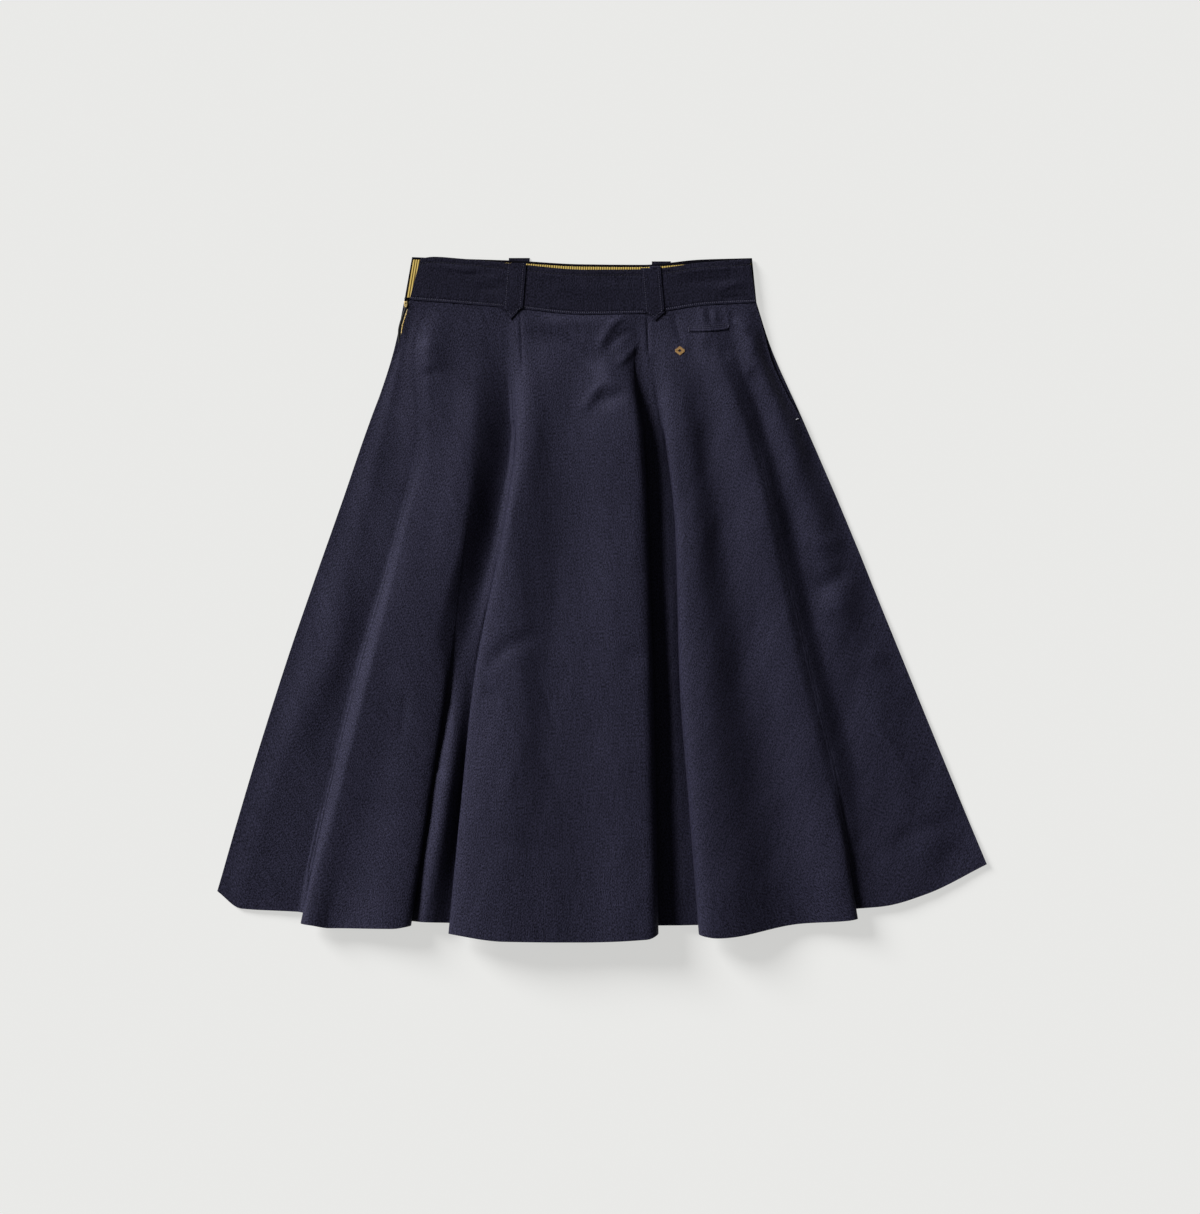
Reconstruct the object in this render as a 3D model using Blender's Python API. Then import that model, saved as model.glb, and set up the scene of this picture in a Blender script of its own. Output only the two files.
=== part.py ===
"""A navy circle skirt laid flat on its back, its front folds arranged by hand.

The cut is a half circle: a front and a back that are each a quarter of a ring, sewn to a straight
waistband. Laid down, the ring's spare width laps into folds that grow from nothing at the waist seam.
+X runs across the skirt, +Y towards the waist, +Z up from the surface that it lies on, where z = 0.
Lengths below are in millimetres and become metres when a mesh is made.
"""

from collections import namedtuple

import bpy
from mathutils import Vector
from mathutils.bvhtree import BVHTree

MM = 0.001

# Cloth and how its layers lie at the waist, from the surface up.
CLOTH = 1.0
BAND_CLOTH = 1.6
TRIM = 1.0
GAP = 0.3
LOOP_CLOTH = 1.2
BACK_BAND_Z = LOOP_CLOTH + GAP + BAND_CLOTH / 2
LINING_Z = BACK_BAND_Z + BAND_CLOTH / 2 + GAP + TRIM / 2
FRONT_BAND_Z = LINING_Z + TRIM / 2 + GAP + BAND_CLOTH / 2
FRONT_WAIST_Z = FRONT_BAND_Z - BAND_CLOTH / 2 + CLOTH / 2
BACK_WAIST_Z = BACK_BAND_Z - BAND_CLOTH / 2 + CLOTH / 2
BACK_Z = CLOTH / 2
FLOOR_Z = 7.6
BAND_HEIGHT = 45.0

# How the cloth turns at the edge of a fold.
LAYER = 3.2
NOSE_SHARE = 0.42
FOOT = 1.0
OPEN = 1.2
CREST_ROUND = 0.25
VALLEY_ROUND = 0.25
CREST_REACH = 10.0
FOOT_UNDER = 5.0
FOOT_UNDER_FROM = 14.0
ROUND_HANDLE = 0.55
ROUND_CORNER = 0.45
SHOWS_OVER = 0.14

# Columns of the tables of lines: shares of the way down from the waist seam to the hem.
DOWN = (0.0, 0.08, 0.20, 0.35, 0.60, 0.80, 1.0)
Line = namedtuple("Line", "waist yoke hip seat thigh knee hem")

# Where each line of the front runs, across from the middle of the hem.
FRONT_LINES = {
    "side_left": Line(-192.5, -205.0, -231.5, -262.5, -314.0, -351.5, -386.0),
    "a_crest": Line(-186.0, -199.0, -214.0, -236.0, -274.0, -325.0, -362.0),
    "a_valley": Line(-178.0, -191.0, -188.0, -205.5, -249.0, -279.0, -306.0),
    "b_left": Line(-170.0, -184.0, -180.0, -200.0, -243.0, -274.0, -301.0),
    "b_crest": Line(-158.0, -172.0, -170.0, -193.0, -231.0, -262.0, -290.0),
    "b_dip": Line(-140.0, -150.0, -152.0, -175.0, -208.0, -241.0, -272.0),
    "b_crest_2": Line(-118.0, -130.0, -131.0, -141.0, -177.0, -190.0, -209.0),
    "b_right": Line(-104.0, -114.0, -117.0, -135.0, -154.0, -173.0, -191.0),
    "inner_1": Line(-96.0, -98.0, -91.5, -106.5, -140.5, -156.0, -177.0),
    "c_left": Line(-88.0, -88.0, -86.0, -98.5, -128.0, -141.0, -153.0),
    "c_crest": Line(-78.0, -68.0, -69.0, -88.0, -84.0, -90.0, -98.0),
    "c_dip": Line(-30.0, -38.0, -48.0, -38.0, -50.0, -34.0, -20.0),
    "c_crest_2": Line(18.0, 12.0, 33.0, 33.0, 39.0, 43.0, 45.0),
    "c_right": Line(32.0, 31.0, 41.0, 46.0, 51.0, 54.0, 56.0),
    "inner_2": Line(39.0, 47.0, 58.0, 67.0, 72.0, 79.0, 84.0),
    "e_left": Line(43.0, 52.0, 63.5, 73.5, 78.0, 87.5, 97.0),
    "e_crest": Line(55.0, 68.0, 82.0, 90.0, 99.0, 109.0, 115.0),
    "e_dip": Line(75.0, 90.0, 107.0, 122.0, 151.0, 177.0, 198.0),
    "e_crest_2": Line(98.0, 114.0, 141.0, 164.0, 196.0, 225.0, 245.0),
    "e_right": Line(110.0, 124.0, 149.0, 171.0, 206.0, 235.0, 255.5),
    "f_valley": Line(124.0, 136.0, 163.0, 189.0, 226.0, 263.0, 282.0),
    "f_rise": Line(139.0, 151.0, 180.0, 208.0, 250.0, 290.0, 326.0),
    "side_right": Line(154.0, 167.5, 198.5, 236.0, 293.5, 339.5, 386.0),
}

# How high the cloth stands along its lines, above the hidden layers' floor, and its two side seams' height.
RISES = {
    "a_crest": Line(0.0, -2.2, -1.8, -2.2, 0.5, -2.8, -4.0),
    "a_valley": Line(0.0, -1.2, 0.8, -1.0, -2.0, -2.4, -3.5),
    "b_crest": Line(0.0, 2.8, 3.4, 3.2, 6.4, 4.8, 10.5),
    "b_dip": Line(0.0, 1.4, 5.4, 6.2, 6.6, 4.6, 7.5),
    "b_crest_2": Line(0.0, 0.2, 7.8, 9.5, 7.4, 7.8, 13.5),
    "inner_1": Line(0.0, -1.0, -4.0, -4.0, 1.2, 10.5, 7.0),
    "c_crest": Line(0.0, 4.0, 10.5, 13.0, 17.0, 20.0, 21.0),
    "c_dip": Line(0.0, 5.0, 7.5, 8.5, 13.2, 15.5, 18.5),
    "c_crest_2": Line(0.0, 5.5, 15.5, 16.5, 18.8, 19.2, 20.0),
    "inner_2": Line(0.0, 0.6, 0.6, 0.6, 1.5, 1.2, 0.7),
    "e_crest": Line(0.0, 2.4, 8.2, 12.5, 16.0, 18.0, 19.0),
    "e_dip": Line(0.0, 2.0, 3.0, 4.0, 3.8, 3.4, 3.0),
    "e_crest_2": Line(0.0, 5.0, 8.5, 9.5, 9.5, 9.0, 9.0),
    "f_valley": Line(0.0, 0.5, 0.0, -0.5, -1.5, -2.0, -1.5),
    "f_rise": Line(0.0, 3.0, 3.5, 2.5, 0.0, -2.0, -2.0),
}
SIDE_Z = Line(FRONT_WAIST_Z, 4.2, 3.5, 2.1, 2.1, 2.1, 2.1)
VALLEY_BEFORE_INNER_2 = 7.0

# The hem's height on the page at each of those lines.
HEM_Y = {
    "side_left": -293.5,
    "a_crest": -311.0,
    "a_valley": -314.0,
    "b_crest": -326.5,
    "b_dip": -329.5,
    "b_crest_2": -329.5,
    "inner_1": -323.5,
    "c_crest": -341.5,
    "c_dip": -342.5,
    "c_crest_2": -339.5,
    "valley_2": -327.4,
    "inner_2": -327.2,
    "e_crest": -338.5,
    "e_dip": -325.5,
    "e_crest_2": -322.0,
    "f_valley": -308.5,
    "f_rise": -296.0,
    "side_right": -266.5,
}

# Each fold's edges: where the edge shows, where cloth starts to lap under it and how far at the hem, how
# high its nose is as a share of the crest, and the hem's y at its edge, its turn and its foot.
Edge = namedtuple("Edge", "shows laps_from lap nose hem_edge hem_turn hem_foot")
EDGES = {
    "b_left": Edge(0.80, 0.93, 18.0, 0.42, -324.5, -320.0, -315.0),
    "b_right": Edge(0.50, 0.64, 44.0, 0.50, -326.5, -323.0, -323.0),
    "c_left": Edge(0.08, 0.18, 70.0, 0.42, -334.5, -328.0, -325.0),
    "c_right": Edge(0.02, 0.18, 60.0, 0.55, -334.0, -329.0, -327.5),
    "e_left": Edge(0.08, 0.18, 60.0, 0.42, -335.0, -328.0, -327.0),
    "e_right": Edge(0.76, 0.93, 26.0, 0.50, -320.0, -315.0, -311.0),
}

# The back laps into three flat pleats that lie on it, out of sight.
BACK_SIDES = {
    "side_left": Line(-198.5, -208.5, -231.5, -262.5, -314.0, -351.5, -386.0),
    "side_right": Line(155.0, 169.6, 199.5, 236.0, 293.5, 339.5, 386.0),
}
Pleat = namedtuple("Pleat", "waist hem lap_hem")
PLEATS = (Pleat(-140.0, -240.0, 92.0), Pleat(-8.0, 0.0, 92.0), Pleat(86.0, 212.0, 92.0))
PLEAT_LAYER = 2.6
PLEAT_RUN_OUT = 22.0
PLEAT_OPEN = 3.0
PLEATS_LAP_FROM = 0.10
BACK_HEM_X = (-386.0, -300.0, -150.0, 0.0, 150.0, 280.0, 386.0)
BACK_HEM_Y = (-293.5, -305.5, -317.0, -321.0, -316.0, -299.0, -266.5)

# The waistband's edges, left end to right end: the seam below the front half and the two halves' tops.
EdgePoint = namedtuple("EdgePoint", "x y")
FRONT_SEAM = (
    EdgePoint(-193.0, 299.3),
    EdgePoint(-151.0, 296.0),
    EdgePoint(-89.0, 291.0),
    EdgePoint(-19.0, 284.4),
    EdgePoint(43.5, 285.7),
    EdgePoint(102.5, 293.8),
    EdgePoint(154.3, 296.5),
)
FRONT_TOP = (
    EdgePoint(-182.0, 340.8),
    EdgePoint(-169.0, 342.5),
    EdgePoint(-142.0, 340.7),
    EdgePoint(-83.0, 335.0),
    EdgePoint(-17.0, 329.6),
    EdgePoint(42.5, 329.9),
    EdgePoint(98.5, 336.5),
    EdgePoint(148.5, 340.2),
)
BACK_TOP = (
    EdgePoint(-190.5, 342.5),
    EdgePoint(-150.0, 341.0),
    EdgePoint(-88.5, 339.0),
    EdgePoint(-20.0, 335.3),
    EdgePoint(41.0, 334.8),
    EdgePoint(99.0, 340.0),
    EdgePoint(150.5, 341.5),
)
BACK_SEAM_ENDS = (-198.5, 155.0)
LINING_IN = 1.2
LINING_DOWN = 1.8
LINING_HEIGHT = 38.0
BAND_COLUMNS = 24

# Belt loops: middle of the top, middle of the shoulders, the pointed tip, and the width.
Loop = namedtuple("Loop", "top_x top_y shoulder_x shoulder_y tip_x tip_y width")
FRONT_LOOPS = {
    "belt_loop_front_left": Loop(-86.0, 336.0, -89.4, 291.0, -91.5, 279.8, 20.0),
    "belt_loop_front_right": Loop(48.5, 334.0, 52.4, 287.5, 53.2, 278.5, 20.0),
}
BACK_LOOPS = {
    "belt_loop_back_left": Loop(-83.0, 341.8, -84.5, 297.0, -85.5, 286.0, 21.0),
    "belt_loop_back_right": Loop(59.5, 338.4, 60.5, 294.0, 61.5, 283.0, 19.0),
}

# The zip at the left side, the metal bar above it, and the two pockets.
ZIP_LENGTH = 43.0
ZIP_TAPE_WIDTH = 8.0
ZIP_TAPE_IN = 1.4
SLIDER_SIZE = (3.2, 6.5, 2.0)
SLIDER_PLACE = (-197.2, 294.6, 5.9)
HOOK_BAR_SIZE = (4.2, 1.8, 1.0)
HOOK_BAR_PLACE = (-195.9, 300.6, 5.4)
POCKET_FACING = (0.07, 0.21)
POCKET_FACING_WIDTH = 14.0
POCKET_EDGE_IN = 3.2
COIN_WELT_START = (88.0, 268.4)
COIN_WELT_END = (126.0, 270.6)
COIN_WELT_WIDTH = 3.2

# The rows of cloth facets, as shares of the way down.
FRONT_ROWS = (0, .015, .035, .06, .09, .13, .18, .24, .31, .38, .46, .54, .62, .70, .78, .86, .93, 1)
BACK_ROWS = (0, .02, .05, .08, .11, .14, .18, .24, .33, .45, .58, .72, .86, 1)

# Colours are linear, as Blender's sockets take them.
Finish = namedtuple("Finish", "colour roughness metallic")
NAVY_SATEEN = Finish((0.012, 0.011, 0.026), 0.55, 0.0)
GOLD_TAPE = Finish((0.47, 0.33, 0.06), 0.6, 0.0)
BRASS = Finish((0.71, 0.50, 0.16), 0.3, 1.0)
NICKEL = Finish((0.60, 0.58, 0.55), 0.3, 1.0)


def mix(a, b, share):
    return a + (b - a) * share


def smooth(start, end, value):
    """0 up to start, 1 from end, and an even S between them."""
    t = min(max((value - start) / (end - start), 0.0), 1.0)
    return t * t * (3.0 - 2.0 * t)


def curve(xs, ys, x):
    """A smooth curve through a table's values that never overshoots them (monotone cubic)."""
    last = len(xs) - 1
    i = max(k for k in range(last) if k == 0 or xs[k] <= x)
    slopes = [(ys[k + 1] - ys[k]) / (xs[k + 1] - xs[k]) for k in range(last)]

    def tangent(k):
        if k == 0 or k == last:
            return slopes[min(k, last - 1)]
        before, after = slopes[k - 1], slopes[k]
        return 0.0 if before * after <= 0.0 else 2.0 * before * after / (before + after)

    width = xs[i + 1] - xs[i]
    t = min(max((x - xs[i]) / width, 0.0), 1.0)
    ends = (1 + 2 * t) * (1 - t) ** 2 * ys[i] + t * t * (3 - 2 * t) * ys[i + 1]
    return ends + width * t * (1 - t) * ((1 - t) * tangent(i) - t * tangent(i + 1))


# A key is a point of a section. A flat key has no handles: its neighbours set its reach, and it may have
# a slope. A turning key has a handle into it and one out of it, both pointing the way the cloth runs.
Key = namedtuple("Key", "x z into out hem plain slope", defaults=(0.0, 0.0))


def flat_key(x, z, hem=0.0):
    return Key(x, z, None, None, hem)


def edge_keys(side, x, lap, floor, nose_z, layer, hems, nose_share=NOSE_SHARE, tucked=0.0):
    """Cloth round a right edge (side +1): nose, the layer going back, turn and foot; a left one reversed.

    The nose and the turn are quarter rounds on either side of their keys, so that a wall fits in them.
    The foot is tucked that much under the nose.
    """
    under = layer / 2
    round_nose = 0.6 * (nose_z - floor - layer)
    still_open = max(0.0, -lap)
    nose = Vector((x, nose_z))
    turn = Vector((x - side * lap, floor + under))
    back_high = nose - Vector((0.0, round_nose))
    back_low = turn + Vector((0.0, under))
    middle = (back_high + back_low) / 2
    half = max(abs(lap) / 2, 0.01)
    to_nose = (back_high - middle) * max(0.3, 1 - ROUND_CORNER * round_nose / half)
    to_turn = (back_low - middle) * max(0.3, 1 - ROUND_CORNER * under / half)
    lean = still_open / 2
    up = -side
    nose_under = Vector((lean, up * ROUND_HANDLE * round_nose))
    nose_over = Vector((lean, up * ROUND_HANDLE * (nose_z - floor) / nose_share * (1 - nose_share)))
    turn_handle = Vector((lean, up * ROUND_HANDLE * under))
    foot_out = FOOT + 2 * still_open - tucked
    keys = [
        Key(x, nose_z, nose_over, nose_under, hems[0]),
        Key(*middle, -to_nose, to_turn, mix(hems[0], hems[1], 0.5)),
        Key(*turn, turn_handle, turn_handle, hems[1]),
        Key(x + side * foot_out, floor, None, None, hems[2]),
    ]
    if side > 0:
        return keys
    return [
        keys[3],
        keys[2],
        Key(*middle, -to_turn, to_nose, mix(hems[0], hems[1], 0.5)),
        Key(x, nose_z, nose_under, nose_over, hems[0]),
    ]


def reach(flat, neighbour):
    """How far a flat key's handle goes: nearly over a turning neighbour, to make it a quarter round."""
    apart = abs(neighbour.x - flat.x)
    if neighbour.into is None:
        return 0.4 * apart
    quarter_round = max(0.3 * apart, apart - ROUND_CORNER * abs(neighbour.z - flat.z))
    return mix(quarter_round, apart / 3, neighbour.plain)


def fallen(along):
    """How far a slope has fallen, and how fast it falls: straight, but for a round crest and valley."""
    crest = min(along, CREST_ROUND)
    valley = max(0.0, along - 1.0 + VALLEY_ROUND)
    straight = 1.0 - (CREST_ROUND + VALLEY_ROUND) / 2
    height = along - crest + crest**2 / (2 * CREST_ROUND) - valley**2 / (2 * VALLEY_ROUND)
    return height / straight, (crest / CREST_ROUND - valley / VALLEY_ROUND) / straight


def laid_on_slope(keys, before, after, share):
    """Keys of an edge that doesn't show yet, put on the plain slope from one flat key to the next."""
    if share >= 1.0:
        return keys
    width, drop = after.x - before.x, after.z - before.z
    lean = after.slope * width
    row = [before, *keys, after]
    laid = []
    for last, key, following in zip(row, row[1:], row[2:]):
        along = (key.x - before.x) / width
        if drop > 0:
            left, rate = fallen(1.0 - along)
            height = 1.0 - left
        else:
            height, rate = fallen(along)
        level = before.z + height * drop - lean * along**2 * (1.0 - along)
        slope = Vector((1.0, (rate * drop + lean * (3.0 * along**2 - 2.0 * along)) / width))
        own_into = key.into or Vector((reach(key, last), 0.0))
        own_out = key.out or Vector((reach(key, following), 0.0))
        into = (slope * (key.x - last.x) / 3).lerp(own_into, share)
        out = (slope * (following.x - key.x) / 3).lerp(own_out, share)
        z = mix(level, key.z, share)
        laid.append(key._replace(z=z, into=into, out=out, plain=1.0 - share))
    return laid


def run_through(before, key, after):
    """A key on a slope that runs on through it, so that the slope has no step there."""
    into, out = (key.z - before.z) / (key.x - before.x), (after.z - key.z) / (after.x - key.x)
    if into * out <= 0.0:
        return key
    return key._replace(slope=2.0 * into * out / (into + out))


def front_keys(down):
    """The front's section at a share of the way down, left side seam to right."""
    x = {name: curve(DOWN, row, down) for name, row in FRONT_LINES.items()}
    rise = {name: curve(DOWN, row, down) for name, row in RISES.items()}
    floor = mix(FRONT_WAIST_Z, FLOOR_Z, smooth(0.0, 0.12, down))
    side_z = curve(DOWN, SIDE_Z, down)
    pocket_gap = POCKET_EDGE_IN * smooth(0.05, 0.12, down) * (1.0 - smooth(0.16, 0.22, down))
    x["side_right"] -= pocket_gap
    x["valley_2"] = max(x["inner_2"] - VALLEY_BEFORE_INNER_2, mix(x["c_right"], x["inner_2"], 0.6))
    rise["valley_2"] = 0.0

    def line(name):
        return flat_key(x[name], floor + rise[name], HEM_Y[name])

    def sloping_crest(name, left, right):
        """A crest with short handles, so that cloth slopes up to it from a far edge."""
        near, far = x[name] - x[left], x[right] - x[name]
        into = max(0.3 * near, min(0.7 * near, CREST_REACH))
        return line(name)._replace(into=Vector((into, 0.0)), out=Vector((far / 3, 0.0)), plain=1.0)

    def edge(name, side, crest):
        row = EDGES[name]
        grown = max(0.0, (down - row.laps_from) / (1.0 - row.laps_from))
        nose_z = floor + row.nose * rise[crest]
        layer = min(LAYER * min(1.0, down / 0.1), 0.7 * row.nose * rise[crest])
        hems = (row.hem_edge, row.hem_turn, row.hem_foot)
        lap = mix(-OPEN, row.lap, grown)
        tucked = FOOT_UNDER * layer / LAYER * smooth(0.0, FOOT_UNDER_FROM, lap)
        return edge_keys(side, x[name], lap, floor, nose_z, layer, hems, row.nose, tucked)

    def formed(name, keys, before, after):
        shows = EDGES[name].shows
        return laid_on_slope(keys, before, after, smooth(shows, shows + SHOWS_OVER, down))

    a_valley = run_through(line("a_crest"), line("a_valley"), line("b_crest"))
    b_crest = run_through(line("a_valley"), line("b_crest"), line("b_dip"))
    b_dip = run_through(line("b_crest"), line("b_dip"), line("b_crest_2"))
    b_left = edge("b_left", -1, "b_crest")
    b_right = edge("b_right", 1, "b_crest_2")
    e_right = edge("e_right", 1, "e_crest_2")
    return [
        flat_key(x["side_left"], side_z, HEM_Y["side_left"]),
        line("a_crest"),
        a_valley,
        *formed("b_left", b_left, a_valley, b_crest),
        b_crest,
        b_dip,
        line("b_crest_2"),
        *formed("b_right", b_right, line("b_crest_2"), line("inner_1")),
        line("inner_1"),
        *formed("c_left", edge("c_left", -1, "c_crest"), line("inner_1"), line("c_crest")),
        sloping_crest("c_crest", "c_left", "c_dip"),
        line("c_dip"),
        line("c_crest_2"),
        *formed("c_right", edge("c_right", 1, "c_crest_2"), line("c_crest_2"), line("valley_2")),
        line("valley_2"),
        line("inner_2"),
        *formed("e_left", edge("e_left", -1, "e_crest"), line("inner_2"), line("e_crest")),
        line("e_crest"),
        line("e_dip"),
        line("e_crest_2"),
        *formed("e_right", e_right, line("e_crest_2"), line("f_valley")),
        line("f_valley"),
        line("f_rise"),
        flat_key(x["side_right"], side_z, HEM_Y["side_right"]),
    ]


def back_keys(down):
    """The back's section, flat on the surface but for three pleats."""
    lines = {name: curve(DOWN, row, down) for name, row in BACK_SIDES.items()}
    floor = mix(BACK_WAIST_Z, BACK_Z, smooth(0.0, 0.06, down))
    turned = smooth(0.0, PLEATS_LAP_FROM, down)
    grown = max(0.0, (down - PLEATS_LAP_FROM) / (1.0 - PLEATS_LAP_FROM))
    layer = PLEAT_LAYER * turned
    keys = [flat_key(lines["side_left"], floor)]
    for pleat in PLEATS:
        lap = mix(-PLEAT_OPEN, pleat.lap_hem, grown)
        half = abs(lap) / 2
        nose_x = mix(pleat.waist, pleat.hem, down) - half
        edge = edge_keys(-1, nose_x, lap, floor, floor + 1.5 * layer, layer, (0.0, 0.0, 0.0))
        keys.append(flat_key(mix(keys[-1].x, edge[0].x, 0.5), floor))
        keys += edge
        keys.append(flat_key(nose_x + 2 * half + PLEAT_OPEN, floor + 2.0 * layer))
        keys.append(flat_key(nose_x + 2 * half + PLEAT_OPEN + PLEAT_RUN_OUT, floor))
    keys.append(flat_key(lines["side_right"], floor))
    return keys


def span_shares(start, end, detail):
    """Where to put points between two keys: more of them, and closer, beside a key where cloth turns."""
    count = detail * 2
    shares = [k / count for k in range(count)]
    start_turns, end_turns = (bool(key.into) and key.plain < 1.0 for key in (start, end))
    if start_turns == end_turns:
        return shares
    if start_turns:
        return [t * t for t in shares]
    return [t * (2.0 - t) for t in shares]


def section(keys, detail=1):
    """Points (x, z) along a section, read from a cubic curve between every two keys."""
    points = []
    for start, end in zip(keys, keys[1:]):
        first, last = Vector((start.x, start.z)), Vector((end.x, end.z))
        out = first + (start.out or Vector((1.0, start.slope)) * reach(start, end))
        back = last - (end.into or Vector((1.0, end.slope)) * reach(end, start))
        for t in span_shares(start, end, detail):
            s = 1 - t
            points.append(s**3 * first + 3 * s * s * t * out + 3 * s * t * t * back + t**3 * last)
    points.append(Vector((keys[-1].x, keys[-1].z)))
    return points


def edge_y(points, x):
    return curve([point.x for point in points], [point.y for point in points], x)


def front_seam_y(x):
    return edge_y(FRONT_SEAM, x)


def back_seam_y(x):
    """The back's seam is as long as its top, a band's height below, spread to the wider ends."""
    share = (x - BACK_SEAM_ENDS[0]) / (BACK_SEAM_ENDS[1] - BACK_SEAM_ENDS[0])
    return edge_y(BACK_TOP, mix(BACK_TOP[0].x, BACK_TOP[-1].x, share)) - BAND_HEIGHT


def hem_along(keys):
    """The hem's y at each point of a section, read along the cloth from the keys' own."""
    points = section(keys)
    run = [0.0]
    for a, b in zip(points, points[1:]):
        run.append(run[-1] + (b - a).length)
    at_keys = [0.0]
    passed = 0
    for start, end in zip(keys, keys[1:]):
        passed += len(span_shares(start, end, 1))
        at_keys.append(run[passed])
    return [curve(at_keys, [key.hem for key in keys], s) for s in run]


def panel_rows(keys_at, rows, waist_y, hem_y):
    """A panel's points, row by row. Each column runs straight from its place on the seam to the hem."""
    top = [waist_y(x) - GAP for x, z in section(keys_at(0.0))]
    return [
        [(x, mix(y0, y1, down), z) for (x, z), y0, y1 in zip(section(keys_at(down)), top, hem_y)]
        for down in rows
    ]


def material(name, finish):
    made = bpy.data.materials.new(name)
    made.use_nodes = True
    shader = made.node_tree.nodes["Principled BSDF"]
    shader.inputs["Base Color"].default_value = (*finish.colour, 1.0)
    shader.inputs["Roughness"].default_value = finish.roughness
    shader.inputs["Metallic"].default_value = finish.metallic
    made.diffuse_color = (*finish.colour, 1.0)
    return made


def cloth_piece(name, rows, wall, finish):
    """A grid of points given a wall. Rows run down the piece and columns to the right, face up."""
    wide = len(rows[0])
    points = [Vector(point) * MM for row in rows for point in row]
    faces = [
        (r * wide + c, (r + 1) * wide + c, (r + 1) * wide + c + 1, r * wide + c + 1)
        for r in range(len(rows) - 1)
        for c in range(wide - 1)
    ]
    mesh = bpy.data.meshes.new(name)
    mesh.from_pydata(points, [], faces)
    mesh.materials.append(material(name, finish))
    piece = bpy.data.objects.new(name, mesh)
    bpy.context.collection.objects.link(piece)
    thicken = piece.modifiers.new("Wall", "SOLIDIFY")
    thicken.thickness = wall * MM
    thicken.offset = 0.0
    thicken.use_even_offset = False
    return piece


def strip_rows(low_ends, low_y, high_ends, high_y, z, rows=3):
    """A straight strip between a lower and an upper edge, each given by its ends and its y at an x."""
    made = []
    for r in range(rows):
        row = []
        for c in range(BAND_COLUMNS + 1):
            low_x = mix(*low_ends, c / BAND_COLUMNS)
            high_x = mix(*high_ends, c / BAND_COLUMNS)
            share = r / (rows - 1)
            row.append((mix(high_x, low_x, share), mix(high_y(high_x), low_y(low_x), share), z))
        made.append(row)
    return made


def top_of(pieces):
    """A function that finds the height of the highest of some pieces under a place."""
    trees = []
    graph = bpy.context.evaluated_depsgraph_get()
    for piece in pieces:
        trees.append(BVHTree.FromObject(piece, graph))

    def height(x, y):
        found = 0.0
        for tree in trees:
            hit = tree.ray_cast(Vector((x, y, 200.0)) * MM, Vector((0, 0, -1)))[0]
            if hit:
                found = max(found, hit.z / MM)
        return found

    return height


def loop_rows(loop, z_at):
    """A strap with a pointed lower end: rows of left edge, middle and right edge."""
    half = loop.width / 2
    rows = []
    for share in (0.0, 0.5, 1.0):
        x = mix(loop.top_x, loop.shoulder_x, share)
        y = mix(loop.top_y, loop.shoulder_y, share)
        rows.append([(x - half, y), (x, y), (x + half, y)])
    tip = (loop.tip_x, loop.tip_y)
    shoulder = rows[-1]
    rows.append([(*mix(Vector(tip), Vector(corner), 0.12),) for corner in shoulder])
    rows[-1][1] = tip
    return [[(x, y, z_at(x, y)) for x, y in row] for row in rows]


def lying_on(height, wall, least=0.0):
    """Heights for a piece that lies on others, moved out from their own points."""
    def z_at(x, y):
        around = [height(x + dx, y + dy) for dx in (-3, 0, 3) for dy in (-3, 0, 3)]
        return max([least] + around) + GAP + wall / 2
    return z_at


def box_piece(name, place, size, finish):
    """A small metal piece with rounded edges."""
    sx, sy, sz = (side * MM / 2 for side in size)
    corners = [(x, y, z) for x in (-sx, sx) for y in (-sy, sy) for z in (-sz, sz)]
    faces = [(0, 1, 3, 2), (4, 6, 7, 5), (0, 4, 5, 1), (2, 3, 7, 6), (0, 2, 6, 4), (1, 5, 7, 3)]
    mesh = bpy.data.meshes.new(name)
    mesh.from_pydata(corners, [], faces)
    mesh.materials.append(material(name, finish))
    piece = bpy.data.objects.new(name, mesh)
    bpy.context.collection.objects.link(piece)
    piece.location = Vector(place) * MM
    rounded = piece.modifiers.new("Rounded edges", "BEVEL")
    rounded.width = 0.2 * min(size) * MM
    rounded.segments = 2
    return piece


def make_front():
    rows = panel_rows(front_keys, FRONT_ROWS, front_seam_y, hem_along(front_keys(1.0)))
    return cloth_piece("skirt_front", rows, CLOTH, NAVY_SATEEN)


def make_back():
    hem = [curve(BACK_HEM_X, BACK_HEM_Y, x) for x, z in section(back_keys(1.0))]
    rows = panel_rows(back_keys, BACK_ROWS, back_seam_y, hem)
    return cloth_piece("skirt_back", rows, CLOTH, NAVY_SATEEN)


def make_bands():
    def front_top(x):
        return edge_y(FRONT_TOP, x)

    def back_top(x):
        return edge_y(BACK_TOP, x)

    front_ends = (FRONT_SEAM[0].x, FRONT_SEAM[-1].x), (FRONT_TOP[0].x, FRONT_TOP[-1].x)
    back_ends = BACK_SEAM_ENDS, (BACK_TOP[0].x, BACK_TOP[-1].x)
    front_rows = strip_rows(front_ends[0], front_seam_y, front_ends[1], front_top, FRONT_BAND_Z)
    back_rows = strip_rows(back_ends[0], back_seam_y, back_ends[1], back_top, BACK_BAND_Z)
    lining_low = (BACK_SEAM_ENDS[0] + 2.5 * LINING_IN, BACK_SEAM_ENDS[1] - 2.5 * LINING_IN)
    lining_high = (BACK_TOP[0].x + LINING_IN, BACK_TOP[-1].x - LINING_IN)
    lining_rows = strip_rows(
        lining_low, lambda x: back_seam_y(x) + BAND_HEIGHT - LINING_DOWN - LINING_HEIGHT,
        lining_high, lambda x: back_top(x) - LINING_DOWN,
        LINING_Z,
    )
    cloth_piece("waistband_back", back_rows, BAND_CLOTH, NAVY_SATEEN)
    cloth_piece("band_lining_back", lining_rows, TRIM, GOLD_TAPE)
    return cloth_piece("waistband_front", front_rows, BAND_CLOTH, NAVY_SATEEN)


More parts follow.
